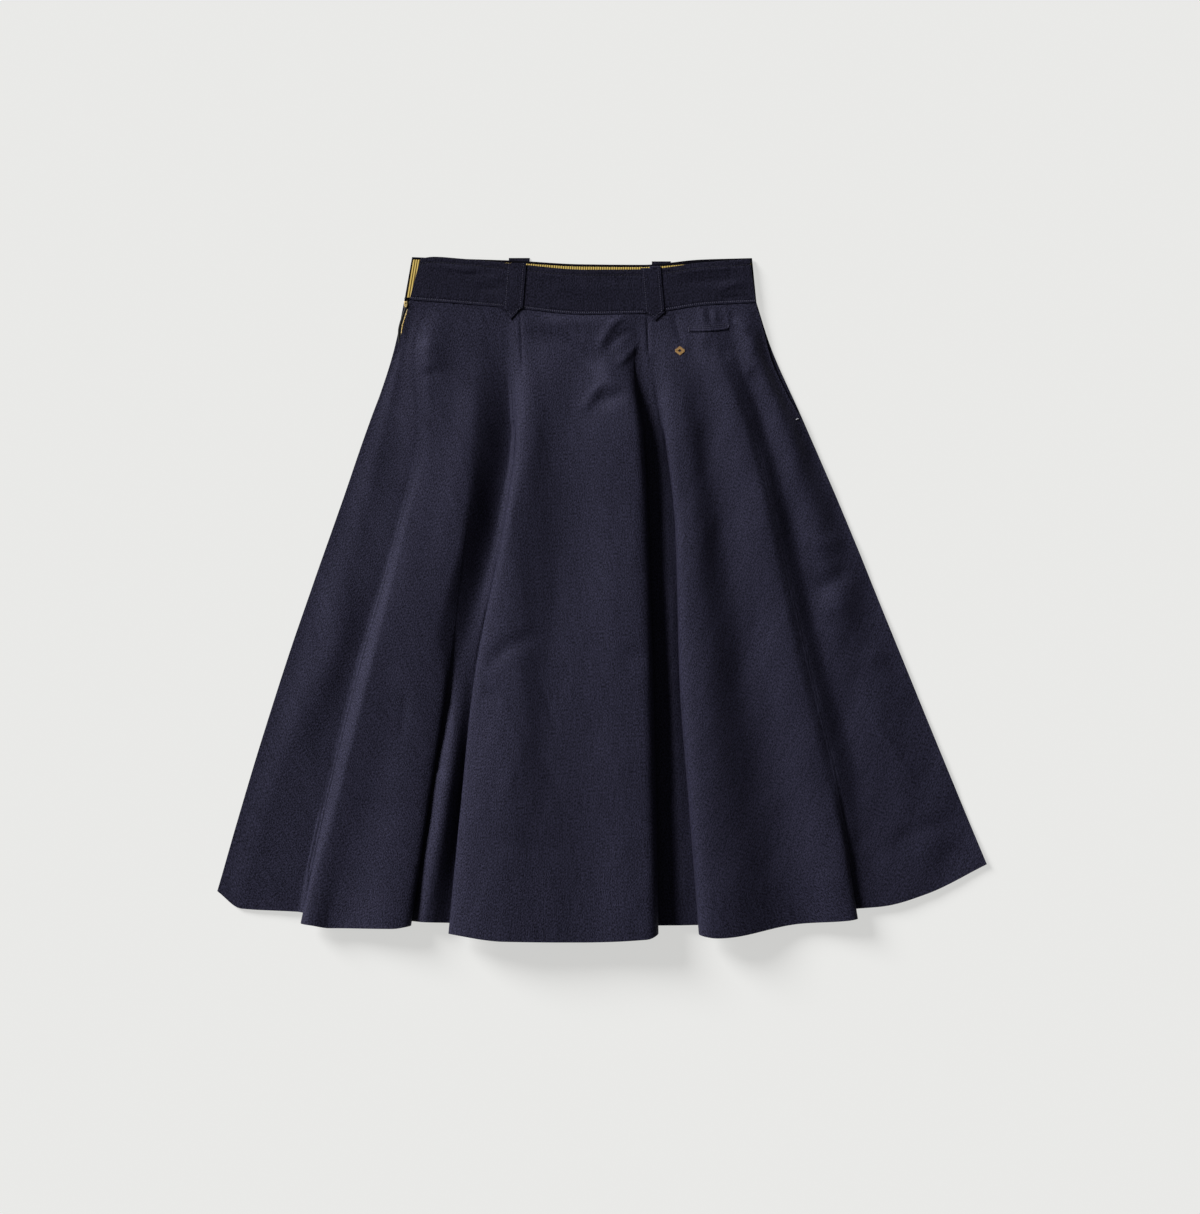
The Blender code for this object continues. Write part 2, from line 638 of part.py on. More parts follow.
def make_zip():
    """A strip of gold tape at the back's left edge, showing beside the front's, and its slider."""
    rows = []
    for k in range(9):
        down = k / 8 * ZIP_LENGTH / (FRONT_SEAM[0].y - HEM_Y["side_left"])
        edge = curve(DOWN, BACK_SIDES["side_left"], down) + ZIP_TAPE_IN
        y = mix(299.0, HEM_Y["side_left"], down)
        z = mix(LINING_Z, BACK_Z + CLOTH / 2 + GAP + TRIM / 2, smooth(0.004, 0.065, down))
        rows.append([(edge + across, y, z) for across in (0.0, ZIP_TAPE_WIDTH)])
    cloth_piece("zip_tape", rows, TRIM, GOLD_TAPE)
    box_piece("zip_slider", SLIDER_PLACE, SLIDER_SIZE, BRASS)
    box_piece("hook_bar", HOOK_BAR_PLACE, HOOK_BAR_SIZE, NICKEL)


def make_pockets(front):
    """The side pocket's facing, which shows beside the front's edge, and the coin pocket's welt."""
    rows = []
    for k in range(7):
        down = mix(*POCKET_FACING, k / 6)
        edge = curve(DOWN, BACK_SIDES["side_right"], down) - 0.5
        y = mix(296.3, HEM_Y["side_right"], down)
        z = BACK_Z + CLOTH / 2 + GAP + TRIM / 2
        rows.append([(edge - POCKET_FACING_WIDTH, y, z), (edge, y, z)])
    cloth_piece("pocket_facing", rows, TRIM, NAVY_SATEEN)

    z_at = lying_on(top_of([front]), TRIM)
    start, end = Vector(COIN_WELT_START), Vector(COIN_WELT_END)
    across = (end - start).orthogonal().normalized() * COIN_WELT_WIDTH / 2
    if across.y < 0:
        across = -across
    rows = []
    for sign in (1, -1):
        row = [mix(start, end, k / 6) + sign * across for k in range(7)]
        rows.append([(p.x, p.y, z_at(p.x, p.y)) for p in row])
    cloth_piece("coin_pocket_welt", rows, TRIM, NAVY_SATEEN)


def make_loops(front, band):
    z_at = lying_on(top_of([front, band]), LOOP_CLOTH, FRONT_BAND_Z + BAND_CLOTH / 2)
    for name, loop in FRONT_LOOPS.items():
        cloth_piece(name, loop_rows(loop, z_at), LOOP_CLOTH, NAVY_SATEEN)
    for name, loop in BACK_LOOPS.items():
        cloth_piece(name, loop_rows(loop, lambda x, y: LOOP_CLOTH / 2), LOOP_CLOTH, NAVY_SATEEN)


def main():
    for old in list(bpy.data.objects):
        bpy.data.objects.remove(old, do_unlink=True)
    front = make_front()
    make_back()
    front_band = make_bands()
    make_zip()
    make_pockets(front)
    make_loops(front, front_band)


main()
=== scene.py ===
# A navy circle skirt, laid flat with its front folds arranged by hand.
#
# The cells below dress the construction model. Every piece of cloth gets a fine shell on the form of its
# solid, with the creases that hands and gravity leave, and then its finish and its sewing.

# %% [markdown]
# ## The frame
#
# The construction model is loaded first and never moved. It gives each sub-part a node with its real size
# and place, so a fine piece can be made in the same frame and stand for its node. The finished skirt has
# to stay within it but for a little fullness.

# %% Load the construction model
import math
from collections import namedtuple

import bpy
import numpy as np
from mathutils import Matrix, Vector, noise
from mathutils.bvhtree import BVHTree


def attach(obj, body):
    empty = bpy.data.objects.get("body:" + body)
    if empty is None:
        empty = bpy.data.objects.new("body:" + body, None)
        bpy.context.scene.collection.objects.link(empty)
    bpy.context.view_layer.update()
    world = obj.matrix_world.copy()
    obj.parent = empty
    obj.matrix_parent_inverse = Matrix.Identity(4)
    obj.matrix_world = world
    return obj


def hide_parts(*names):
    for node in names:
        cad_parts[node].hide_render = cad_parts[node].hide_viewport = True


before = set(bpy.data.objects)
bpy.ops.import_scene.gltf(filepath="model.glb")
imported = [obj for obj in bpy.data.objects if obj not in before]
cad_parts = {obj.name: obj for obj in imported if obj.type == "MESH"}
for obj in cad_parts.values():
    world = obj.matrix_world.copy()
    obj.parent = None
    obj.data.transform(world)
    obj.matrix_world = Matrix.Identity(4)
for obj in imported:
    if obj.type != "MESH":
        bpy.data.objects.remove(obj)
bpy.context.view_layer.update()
MM = 0.001

# %% [markdown]
# ## Smooth numbers
#
# A garment's lines are read from short tables: a few values down the skirt, with a smooth curve between
# them. The curve is a monotone cubic, which never swings past the values that it joins, so a side seam
# doesn't wobble between two of its own points.

# %% Mixing, easing and reading tables


def mix(a, b, share):
    return a + (b - a) * share


def smooth(start, end, value):
    """0 up to start, 1 from end, and an even S between them."""
    t = np.clip((value - start) / (end - start), 0.0, 1.0)
    return t * t * (3.0 - 2.0 * t)


def curve(xs, ys, x):
    """A smooth curve through a table's values that never overshoots them."""
    last = len(xs) - 1
    i = max(k for k in range(last) if k == 0 or xs[k] <= x)
    slopes = [(ys[k + 1] - ys[k]) / (xs[k + 1] - xs[k]) for k in range(last)]

    def tangent(k):
        if k == 0 or k == last:
            return slopes[min(k, last - 1)]
        before, after = slopes[k - 1], slopes[k]
        return 0.0 if before * after <= 0.0 else 2.0 * before * after / (before + after)

    width = xs[i + 1] - xs[i]
    t = min(max((x - xs[i]) / width, 0.0), 1.0)
    ends = (1 + 2 * t) * (1 - t) ** 2 * ys[i] + t * t * (3 - 2 * t) * ys[i + 1]
    return ends + width * t * (1 - t) * ((1 - t) * tangent(i) - t * tangent(i + 1))

# %% [markdown]
# ## The cut and the layers
#
# A circle skirt's front and back are each a quarter of a ring. The inner edge is sewn to the waistband and
# the outer edge is the hem. At the waist the layers lie close on one another: belt loop, back band, lining,
# front band. Lengths here are in millimetres, and become metres when a mesh is made.

# %% Cloth sizes
CLOTH = 1.0
BAND_CLOTH = 1.6
TRIM = 1.0
GAP = 0.3
LOOP_CLOTH = 1.2
BACK_BAND_Z = LOOP_CLOTH + GAP + BAND_CLOTH / 2
LINING_Z = BACK_BAND_Z + BAND_CLOTH / 2 + GAP + TRIM / 2
FRONT_BAND_Z = LINING_Z + TRIM / 2 + GAP + BAND_CLOTH / 2
FRONT_WAIST_Z = FRONT_BAND_Z - BAND_CLOTH / 2 + CLOTH / 2
BACK_WAIST_Z = BACK_BAND_Z - BAND_CLOTH / 2 + CLOTH / 2
BACK_Z = CLOTH / 2
FLOOR_Z = 7.6
BAND_HEIGHT = 45.0

WAIST_RADIUS = 224.0
SLANT = 627.0
CUT_ANGLE = math.radians(90.0)

# %% [markdown]
# ## The front's lines
#
# The front stands up in three folds, b, c and e, with a low ridge between them and a soft side panel at
# each end. A fold's edges run down the skirt like rays, so each one is a row of a table: its place across
# the skirt at seven heights. A second table says how high each fold stands and a third how far the cloth
# tucks back under its edges.

# %% Tables of the front
DOWN = (0.0, 0.08, 0.20, 0.35, 0.60, 0.80, 1.0)
Line = namedtuple("Line", "waist yoke hip seat thigh knee hem")
FRONT_LINES = {
    "side_left": Line(-192.5, -205.0, -231.5, -262.5, -314.0, -351.5, -386.0),
    "a_crest": Line(-186.0, -199.0, -214.0, -236.0, -274.0, -325.0, -362.0),
    "a_valley": Line(-178.0, -191.0, -188.0, -205.5, -249.0, -279.0, -306.0),
    "b_left": Line(-170.0, -184.0, -180.0, -200.0, -243.0, -274.0, -301.0),
    "b_crest": Line(-158.0, -172.0, -170.0, -193.0, -231.0, -262.0, -290.0),
    "b_dip": Line(-140.0, -150.0, -152.0, -175.0, -208.0, -241.0, -272.0),
    "b_crest_2": Line(-118.0, -130.0, -131.0, -141.0, -177.0, -190.0, -209.0),
    "b_right": Line(-104.0, -114.0, -117.0, -135.0, -154.0, -173.0, -191.0),
    "inner_1": Line(-96.0, -98.0, -91.5, -106.5, -140.5, -156.0, -177.0),
    "c_left": Line(-88.0, -88.0, -86.0, -98.5, -128.0, -141.0, -153.0),
    "c_crest": Line(-78.0, -68.0, -69.0, -88.0, -84.0, -90.0, -98.0),
    "c_dip": Line(-30.0, -38.0, -48.0, -38.0, -50.0, -34.0, -20.0),
    "c_crest_2": Line(18.0, 12.0, 33.0, 33.0, 39.0, 43.0, 45.0),
    "c_right": Line(32.0, 31.0, 41.0, 46.0, 51.0, 54.0, 56.0),
    "inner_2": Line(39.0, 47.0, 58.0, 67.0, 72.0, 79.0, 84.0),
    "e_left": Line(43.0, 52.0, 63.5, 73.5, 78.0, 87.5, 97.0),
    "e_crest": Line(55.0, 68.0, 82.0, 90.0, 99.0, 109.0, 115.0),
    "e_dip": Line(75.0, 90.0, 107.0, 122.0, 151.0, 177.0, 198.0),
    "e_crest_2": Line(98.0, 114.0, 141.0, 164.0, 196.0, 225.0, 245.0),
    "e_right": Line(110.0, 124.0, 149.0, 171.0, 206.0, 235.0, 255.5),
    "f_valley": Line(124.0, 136.0, 163.0, 189.0, 226.0, 263.0, 282.0),
    "f_rise": Line(139.0, 151.0, 180.0, 208.0, 250.0, 290.0, 326.0),
    "side_right": Line(154.0, 167.5, 198.5, 236.0, 293.5, 339.5, 386.0),
}

# How high the cloth stands along its lines, above the hidden layers' floor. SIDE_Z is the side seams' own.
RISES = {
    "a_crest": Line(0.0, -2.2, -1.8, -2.2, 0.5, -2.8, -4.0),
    "a_valley": Line(0.0, -1.2, 0.8, -1.0, -2.0, -2.4, -3.5),
    "b_crest": Line(0.0, 2.8, 3.4, 3.2, 6.4, 4.8, 10.5),
    "b_dip": Line(0.0, 1.4, 5.4, 6.2, 6.6, 4.6, 7.5),
    "b_crest_2": Line(0.0, 0.2, 7.8, 9.5, 7.4, 7.8, 13.5),
    "inner_1": Line(0.0, -1.0, -4.0, -4.0, 1.2, 10.5, 7.0),
    "c_crest": Line(0.0, 4.0, 10.5, 13.0, 17.0, 20.0, 21.0),
    "c_dip": Line(0.0, 5.0, 7.5, 8.5, 13.2, 15.5, 18.5),
    "c_crest_2": Line(0.0, 5.5, 15.5, 16.5, 18.8, 19.2, 20.0),
    "inner_2": Line(0.0, 0.6, 0.6, 0.6, 1.5, 1.2, 0.7),
    "e_crest": Line(0.0, 2.4, 8.2, 12.5, 16.0, 18.0, 19.0),
    "e_dip": Line(0.0, 2.0, 3.0, 4.0, 3.8, 3.4, 3.0),
    "e_crest_2": Line(0.0, 5.0, 8.5, 9.5, 9.5, 9.0, 9.0),
    "f_valley": Line(0.0, 0.5, 0.0, -0.5, -1.5, -2.0, -1.5),
    "f_rise": Line(0.0, 3.0, 3.5, 2.5, 0.0, -2.0, -2.0),
}
SIDE_Z = Line(FRONT_WAIST_Z, 4.2, 3.5, 2.1, 2.1, 2.1, 2.1)
VALLEY_BEFORE_INNER_2 = 7.0
VALLEY_TOWARDS_INNER_2 = 0.6
FLOOR_REACHED = 0.12

# The hem's height on the page at each of those lines.
HEM_Y = {
    "side_left": -293.5,
    "a_crest": -311.0,
    "a_valley": -314.0,
    "b_crest": -326.5,
    "b_dip": -329.5,
    "b_crest_2": -329.5,
    "inner_1": -323.5,
    "c_crest": -341.5,
    "c_dip": -342.5,
    "c_crest_2": -339.5,
    "valley_2": -327.4,
    "inner_2": -327.2,
    "e_crest": -338.5,
    "e_dip": -325.5,
    "e_crest_2": -322.0,
    "f_valley": -308.5,
    "f_rise": -296.0,
    "side_right": -266.5,
}

# Each fold's edges: where the edge shows, where cloth starts to lap under it and how far at the hem, how
# high its nose is as a share of the crest, and the hem's y at its edge, its turn and its foot.
Edge = namedtuple("Edge", "shows laps_from lap nose hem_edge hem_turn hem_foot")
EDGES = {
    "b_left": Edge(0.80, 0.93, 18.0, 0.42, -324.5, -320.0, -315.0),
    "b_right": Edge(0.50, 0.64, 44.0, 0.50, -326.5, -323.0, -323.0),
    "c_left": Edge(0.08, 0.18, 70.0, 0.42, -334.5, -328.0, -325.0),
    "c_right": Edge(0.02, 0.18, 60.0, 0.55, -334.0, -329.0, -327.5),
    "e_left": Edge(0.08, 0.18, 60.0, 0.42, -335.0, -328.0, -327.0),
    "e_right": Edge(0.76, 0.93, 26.0, 0.50, -320.0, -315.0, -311.0),
}
POCKET_EDGE_IN = 3.2
POCKET_OPENS = (0.05, 0.12)
POCKET_CLOSES = (0.16, 0.22)
print(len(FRONT_LINES), "lines and", len(EDGES), "fold edges on the front")

# %% [markdown]
# ## How cloth turns at a fold
#
# Where a fold's edge tucks under, the cloth rounds a nose, runs back on a hidden layer, turns again and
# comes forward along the floor to a foot. Each of these is a key point with handles, and a Bezier curve
# joins them. Straight points would give paper creases; the quarter rounds give cloth its soft edge.

# %% Keys of a section
NOSE_SHARE = 0.42
NOSE_ROUND = 0.6
FOOT = 1.0
ROUND_HANDLE = 0.55
ROUND_CORNER = 0.45
LEAST_HANDLE = 0.3

Key = namedtuple("Key", "x z into out hem edge plain slope", defaults=(0.0, 0.0))


def flat_key(x, z, hem=0.0, edge=False):
    return Key(x, z, None, None, hem, edge)


def edge_keys(side, x, lap, floor, nose_z, layer, hems, nose_share=NOSE_SHARE, tucked=0.0):
    """Cloth round a right edge (side +1): nose, the layer going back, turn and foot; a left one reversed.

    The cloth is upright at the nose and at the turn, with the handles of quarter rounds there.
    tucked moves the foot that many mm back under the nose.
    """
    under = layer / 2
    round_nose = NOSE_ROUND * (nose_z - floor - layer)
    still_open = max(0.0, -lap)
    nose = Vector((x, nose_z))
    turn = Vector((x - side * lap, floor + under))
    back_high = nose - Vector((0.0, round_nose))
    back_low = turn + Vector((0.0, under))
    middle = (back_high + back_low) / 2
    half = max(abs(lap) / 2, 0.01)
    to_nose = (back_high - middle) * max(LEAST_HANDLE, 1 - ROUND_CORNER * round_nose / half)
    to_turn = (back_low - middle) * max(LEAST_HANDLE, 1 - ROUND_CORNER * under / half)
    lean = still_open / 2
    up = -side
    nose_under = Vector((lean, up * ROUND_HANDLE * round_nose))
    nose_over = Vector((lean, up * ROUND_HANDLE * (nose_z - floor) / nose_share * (1 - nose_share)))
    turn_handle = Vector((lean, up * ROUND_HANDLE * under))
    mid_hem = mix(hems[0], hems[1], 0.5)
    foot_out = FOOT + 2 * still_open - tucked
    foot = flat_key(x + side * foot_out, floor, hems[2], True)
    turned = Key(*turn, turn_handle, turn_handle, hems[1], True)
    if side > 0:
        first = Key(x, nose_z, nose_over, nose_under, hems[0], True)
        return [first, Key(*middle, -to_nose, to_turn, mid_hem, True), turned, foot]
    last = Key(x, nose_z, nose_under, nose_over, hems[0], True)
    return [foot, turned, Key(*middle, -to_turn, to_nose, mid_hem, True), last]

# %% [markdown]
# ## Flat stretches and slopes
#
# Between two edges the cloth lies flat or slopes. A flat key's handle reaches nearly over a neighbour that
# turns, which makes that turn a quarter round. A slope falls straight, with a round crest and a round
# valley. An edge that doesn't show yet lies on the plain slope, and leaves it by its share.

# %% Flat stretches and slopes
CREST_ROUND = 0.25
VALLEY_ROUND = 0.25
FLAT_HANDLE = 0.4


def reach(flat, neighbour):
    """How far a flat key's handle goes: nearly over a turning neighbour, to make it a quarter round."""
    apart = abs(neighbour.x - flat.x)
    if neighbour.into is None:
        return FLAT_HANDLE * apart
    quarter_round = max(LEAST_HANDLE * apart, apart - ROUND_CORNER * abs(neighbour.z - flat.z))
    return mix(quarter_round, apart / 3, neighbour.plain)


def fallen(along):
    """How far a slope has fallen, and how fast it falls: straight, but for a round crest and valley."""
    crest = min(along, CREST_ROUND)
    valley = max(0.0, along - 1.0 + VALLEY_ROUND)
    straight = 1.0 - (CREST_ROUND + VALLEY_ROUND) / 2
    height = along - crest + crest**2 / (2 * CREST_ROUND) - valley**2 / (2 * VALLEY_ROUND)
    return height / straight, (crest / CREST_ROUND - valley / VALLEY_ROUND) / straight


def laid_on_slope(keys, before, after, share):
    """Keys of an edge that doesn't show yet, put on the plain slope from one flat key to the next."""
    if share >= 1.0:
        return keys
    width, drop = after.x - before.x, after.z - before.z
    lean = after.slope * width
    row = [before, *keys, after]
    laid = []
    for last, key, following in zip(row, row[1:], row[2:]):
        along = (key.x - before.x) / width
        if drop > 0:
            left, rate = fallen(1.0 - along)
            height = 1.0 - left
        else:
            height, rate = fallen(along)
        level = before.z + height * drop - lean * along**2 * (1.0 - along)
        slope = Vector((1.0, (rate * drop + lean * (3.0 * along**2 - 2.0 * along)) / width))
        own_into = key.into or Vector((reach(key, last), 0.0))
        own_out = key.out or Vector((reach(key, following), 0.0))
        into = (slope * (key.x - last.x) / 3).lerp(own_into, share)
        out = (slope * (following.x - key.x) / 3).lerp(own_out, share)
        z = mix(level, key.z, share)
        laid.append(key._replace(z=z, into=into, out=out, plain=1.0 - share))
    return laid


def run_through(before, key, after):
    """A key on a slope that runs on through it, so that the slope has no step there."""
    into, out = (key.z - before.z) / (key.x - before.x), (after.z - key.z) / (after.x - key.x)
    if into * out <= 0.0:
        return key
    return key._replace(slope=2.0 * into * out / (into + out))

# %% [markdown]
# ## A section across the front
#
# Put together, the keys of one height make the front's section from the left side seam to the right one.
# A fold that hasn't formed yet near the waist lies on the plain slope and rises from it further down.

# %% The front's section at any height
LAYER = 3.2
LAYER_FROM = 0.1
LAYER_FITS = 0.7
OPEN = 1.2
CREST_REACH = 10.0
FOOT_UNDER = 5.0
FOOT_UNDER_FROM = 14.0
MOST_HANDLE = 0.7
SHOWS_OVER = 0.14


def front_keys(down):
    """The front's section at a share of the way down, left side seam to right."""
    x = {name: curve(DOWN, row, down) for name, row in FRONT_LINES.items()}
    rise = {name: curve(DOWN, row, down) for name, row in RISES.items()}
    floor = mix(FRONT_WAIST_Z, FLOOR_Z, smooth(0.0, FLOOR_REACHED, down))
    side_z = curve(DOWN, SIDE_Z, down)
    x["side_right"] -= POCKET_EDGE_IN * smooth(*POCKET_OPENS, down) * (1.0 - smooth(*POCKET_CLOSES, down))
    far_enough = mix(x["c_right"], x["inner_2"], VALLEY_TOWARDS_INNER_2)
    x["valley_2"] = max(x["inner_2"] - VALLEY_BEFORE_INNER_2, far_enough)
    rise["valley_2"] = 0.0

    def line(name):
        return flat_key(x[name], floor + rise[name], HEM_Y[name])

    def sloping_crest(name, left, right):
        """A crest with short handles, so that cloth slopes up to it from a far edge."""
        near, far = x[name] - x[left], x[right] - x[name]
        into = max(LEAST_HANDLE * near, min(MOST_HANDLE * near, CREST_REACH))
        return line(name)._replace(into=Vector((into, 0.0)), out=Vector((far / 3, 0.0)), plain=1.0)

    def edge(name, side, crest):
        row = EDGES[name]
        grown = max(0.0, (down - row.laps_from) / (1.0 - row.laps_from))
        nose_z = floor + row.nose * rise[crest]
        layer = min(LAYER * min(1.0, down / LAYER_FROM), LAYER_FITS * row.nose * rise[crest])
        hems = (row.hem_edge, row.hem_turn, row.hem_foot)
        lap = mix(-OPEN, row.lap, grown)
        tucked = FOOT_UNDER * layer / LAYER * smooth(0.0, FOOT_UNDER_FROM, lap)
        return edge_keys(side, x[name], lap, floor, nose_z, layer, hems, row.nose, tucked)

    def formed(name, keys, before, after):
        shows = EDGES[name].shows
        return laid_on_slope(keys, before, after, smooth(shows, shows + SHOWS_OVER, down))

    a_valley = run_through(line("a_crest"), line("a_valley"), line("b_crest"))
    b_crest = run_through(line("a_valley"), line("b_crest"), line("b_dip"))
    b_dip = run_through(line("b_crest"), line("b_dip"), line("b_crest_2"))
    b_left = edge("b_left", -1, "b_crest")
    b_right = edge("b_right", 1, "b_crest_2")
    e_right = edge("e_right", 1, "e_crest_2")
    return [
        flat_key(x["side_left"], side_z, HEM_Y["side_left"]),
        line("a_crest"),
        a_valley,
        *formed("b_left", b_left, a_valley, b_crest),
        b_crest,
        b_dip,
        line("b_crest_2"),
        *formed("b_right", b_right, line("b_crest_2"), line("inner_1")),
        line("inner_1"),
        *formed("c_left", edge("c_left", -1, "c_crest"), line("inner_1"), line("c_crest")),
        sloping_crest("c_crest", "c_left", "c_dip"),
        line("c_dip"),
        line("c_crest_2"),
        *formed("c_right", edge("c_right", 1, "c_crest_2"), line("c_crest_2"), line("valley_2")),
        line("valley_2"),
        line("inner_2"),
        *formed("e_left", edge("e_left", -1, "e_crest"), line("inner_2"), line("e_crest")),
        line("e_crest"),
        line("e_dip"),
        line("e_crest_2"),
        *formed("e_right", e_right, line("e_crest_2"), line("f_valley")),
        line("f_valley"),
        line("f_rise"),
        flat_key(x["side_right"], side_z, HEM_Y["side_right"]),
    ]

# %% [markdown]
# ## The back's section
#
# The back lies flat on the surface. Its spare width goes into three flat pleats that open from the hip
# down, made with the same keys. They are out of sight from above, and show when the skirt is turned over.

# %% The back's section at any height
BACK_SIDES = {
    "side_left": Line(-198.5, -208.5, -231.5, -262.5, -314.0, -351.5, -386.0),
    "side_right": Line(155.0, 169.6, 199.5, 236.0, 293.5, 339.5, 386.0),
}
Pleat = namedtuple("Pleat", "waist hem lap_hem")
PLEATS = (Pleat(-140.0, -240.0, 92.0), Pleat(-8.0, 0.0, 92.0), Pleat(86.0, 212.0, 92.0))
PLEAT_LAYER = 2.6
PLEAT_RUN_OUT = 22.0
PLEAT_OPEN = 3.0
PLEAT_NOSE = 1.5
PLEAT_TOP = 2.0
PLEATS_LAP_FROM = 0.10
BACK_DOWN_AT = 0.06
BACK_HEM_X = (-386.0, -300.0, -150.0, 0.0, 150.0, 280.0, 386.0)
BACK_HEM_Y = (-293.5, -305.5, -317.0, -321.0, -316.0, -299.0, -266.5)


def back_keys(down):
    """The back's section, flat on the surface but for three pleats."""
    lines = {name: curve(DOWN, row, down) for name, row in BACK_SIDES.items()}
    floor = mix(BACK_WAIST_Z, BACK_Z, smooth(0.0, BACK_DOWN_AT, down))
    layer = PLEAT_LAYER * smooth(0.0, PLEATS_LAP_FROM, down)
    grown = max(0.0, (down - PLEATS_LAP_FROM) / (1.0 - PLEATS_LAP_FROM))
    keys = [flat_key(lines["side_left"], floor)]
    for pleat in PLEATS:
        lap = mix(-PLEAT_OPEN, pleat.lap_hem, grown)
        half = abs(lap) / 2
        nose_x = mix(pleat.waist, pleat.hem, down) - half
        edge = edge_keys(-1, nose_x, lap, floor, floor + PLEAT_NOSE * layer, layer, (0.0, 0.0, 0.0))
        keys.append(flat_key(mix(keys[-1].x, edge[0].x, 0.5), floor))
        keys += edge
        laid_to = nose_x + 2 * half + PLEAT_OPEN
        keys.append(flat_key(laid_to, floor + PLEAT_TOP * layer))
        keys.append(flat_key(laid_to + PLEAT_RUN_OUT, floor))
    keys.append(flat_key(lines["side_right"], floor))
    return keys

# %% [markdown]
# ## From keys to fine points
#
# Each stretch between two keys is a cubic curve. It is first read densely, then its points are spread so
# that a column of the mesh spans either a few millimetres or a few degrees of bend, whichever comes
# first. Hidden layers get fewer columns, because nobody sees them and the mesh has a limit.

# %% Read a section
Detail = namedtuple("Detail", "seen hidden bend")
FRONT_DETAIL = Detail(4.4, 13.0, math.radians(22.0))
BACK_DETAIL = Detail(7.0, 16.0, math.radians(30.0))
DENSE = np.linspace(0.0, 1.0, 49)


def span_points(start, end):
    """Dense points (x, z) on the curve from one key to the next."""
    first, last = Vector((start.x, start.z)), Vector((end.x, end.z))
    out = first + (start.out or Vector((1.0, start.slope)) * reach(start, end))
    back = last - (end.into or Vector((1.0, end.slope)) * reach(end, start))
    t = DENSE[:, None]
    s = 1 - t
    corners = [np.array(point[:]) for point in (first, out, back, last)]
    return s**3 * corners[0] + 3 * s * s * t * corners[1] + 3 * s * t * t * corners[2] + t**3 * corners[3]


def column_weight(points, step, bend):
    """How many columns a stretch has needed up to each of its dense points."""
    steps = np.diff(points, axis=0)
    lengths = np.hypot(*steps.T)
    angles = np.unwrap(np.arctan2(steps[:, 1], steps[:, 0]))
    turns = np.abs(np.diff(angles, prepend=angles[0]))
    return np.concatenate([[0.0], np.cumsum(lengths / step + turns / bend + 1e-6)])


def step_of(start, end, detail):
    return detail.hidden if start.edge and end.edge else detail.seen


def column_counts(keys, detail):
    """The number of columns in each stretch, settled once at the hem, where the cloth is widest."""
    counts = []
    for start, end in zip(keys, keys[1:]):
        weight = column_weight(span_points(start, end), step_of(start, end, detail), detail.bend)
        counts.append(max(3, round(float(weight[-1]))))
    return counts


def section(keys, counts, detail):
    """Fine points (x, z) along a section, each stretch with its own count of columns."""
    parts = []
    for start, end, count in zip(keys, keys[1:], counts):
        points = span_points(start, end)
        weight = column_weight(points, step_of(start, end, detail), detail.bend)
        shares = np.interp(np.arange(count) / count * weight[-1], weight, DENSE)
        parts.append(np.stack([np.interp(shares, DENSE, axis) for axis in points.T], axis=1))
    parts.append(np.array([[keys[-1].x, keys[-1].z]]))
    return np.concatenate(parts)


def run_along(points):
    """Distance along a row of points, from its left end."""
    return np.concatenate([[0.0], np.cumsum(np.linalg.norm(np.diff(points, axis=0), axis=1))])


def hem_along(keys, counts, detail):
    """The hem's y at each fine point, read along the cloth from the keys' own."""
    run = run_along(section(keys, counts, detail))
    at_keys = run[np.concatenate([[0], np.cumsum(counts)])]
    return np.array([curve(list(at_keys), [key.hem for key in keys], s) for s in run])

# %% [markdown]
# ## The waist edges
#
# Laid down, the waist isn't straight: the front dips a little below the back, so that the back's edge and
# its lining show above it. Each edge is a short table of points.

# %% Edges of the waistband
EdgePoint = namedtuple("EdgePoint", "x y")
FRONT_SEAM = (
    EdgePoint(-193.0, 299.3),
    EdgePoint(-151.0, 296.0),
    EdgePoint(-89.0, 291.0),
    EdgePoint(-19.0, 284.4),
    EdgePoint(43.5, 285.7),
    EdgePoint(102.5, 293.8),
    EdgePoint(154.3, 296.5),
)
FRONT_TOP = (
    EdgePoint(-182.0, 340.8),
    EdgePoint(-169.0, 342.5),
    EdgePoint(-142.0, 340.7),
    EdgePoint(-83.0, 335.0),
    EdgePoint(-17.0, 329.6),
    EdgePoint(42.5, 329.9),
    EdgePoint(98.5, 336.5),
    EdgePoint(148.5, 340.2),
)
BACK_TOP = (
    EdgePoint(-190.5, 342.5),
    EdgePoint(-150.0, 341.0),
    EdgePoint(-88.5, 339.0),
    EdgePoint(-20.0, 335.3),
    EdgePoint(41.0, 334.8),
    EdgePoint(99.0, 340.0),
    EdgePoint(150.5, 341.5),
)
BACK_SEAM_ENDS = (-198.5, 155.0)
print("flat waist in mm:", round(BACK_TOP[-1].x - BACK_TOP[0].x))


def edge_y(points, x):
    return curve([point.x for point in points], [point.y for point in points], x)


def front_seam_y(x):
    return edge_y(FRONT_SEAM, x)


def front_top_y(x):
    return edge_y(FRONT_TOP, x)


def back_top_y(x):
    return edge_y(BACK_TOP, x)


def back_seam_y(x):
    """The back's seam is as long as its top, a band's height below, spread to the wider ends."""
    share = (x - BACK_SEAM_ENDS[0]) / (BACK_SEAM_ENDS[1] - BACK_SEAM_ENDS[0])
    return back_top_y(mix(BACK_TOP[0].x, BACK_TOP[-1].x, share)) - BAND_HEIGHT
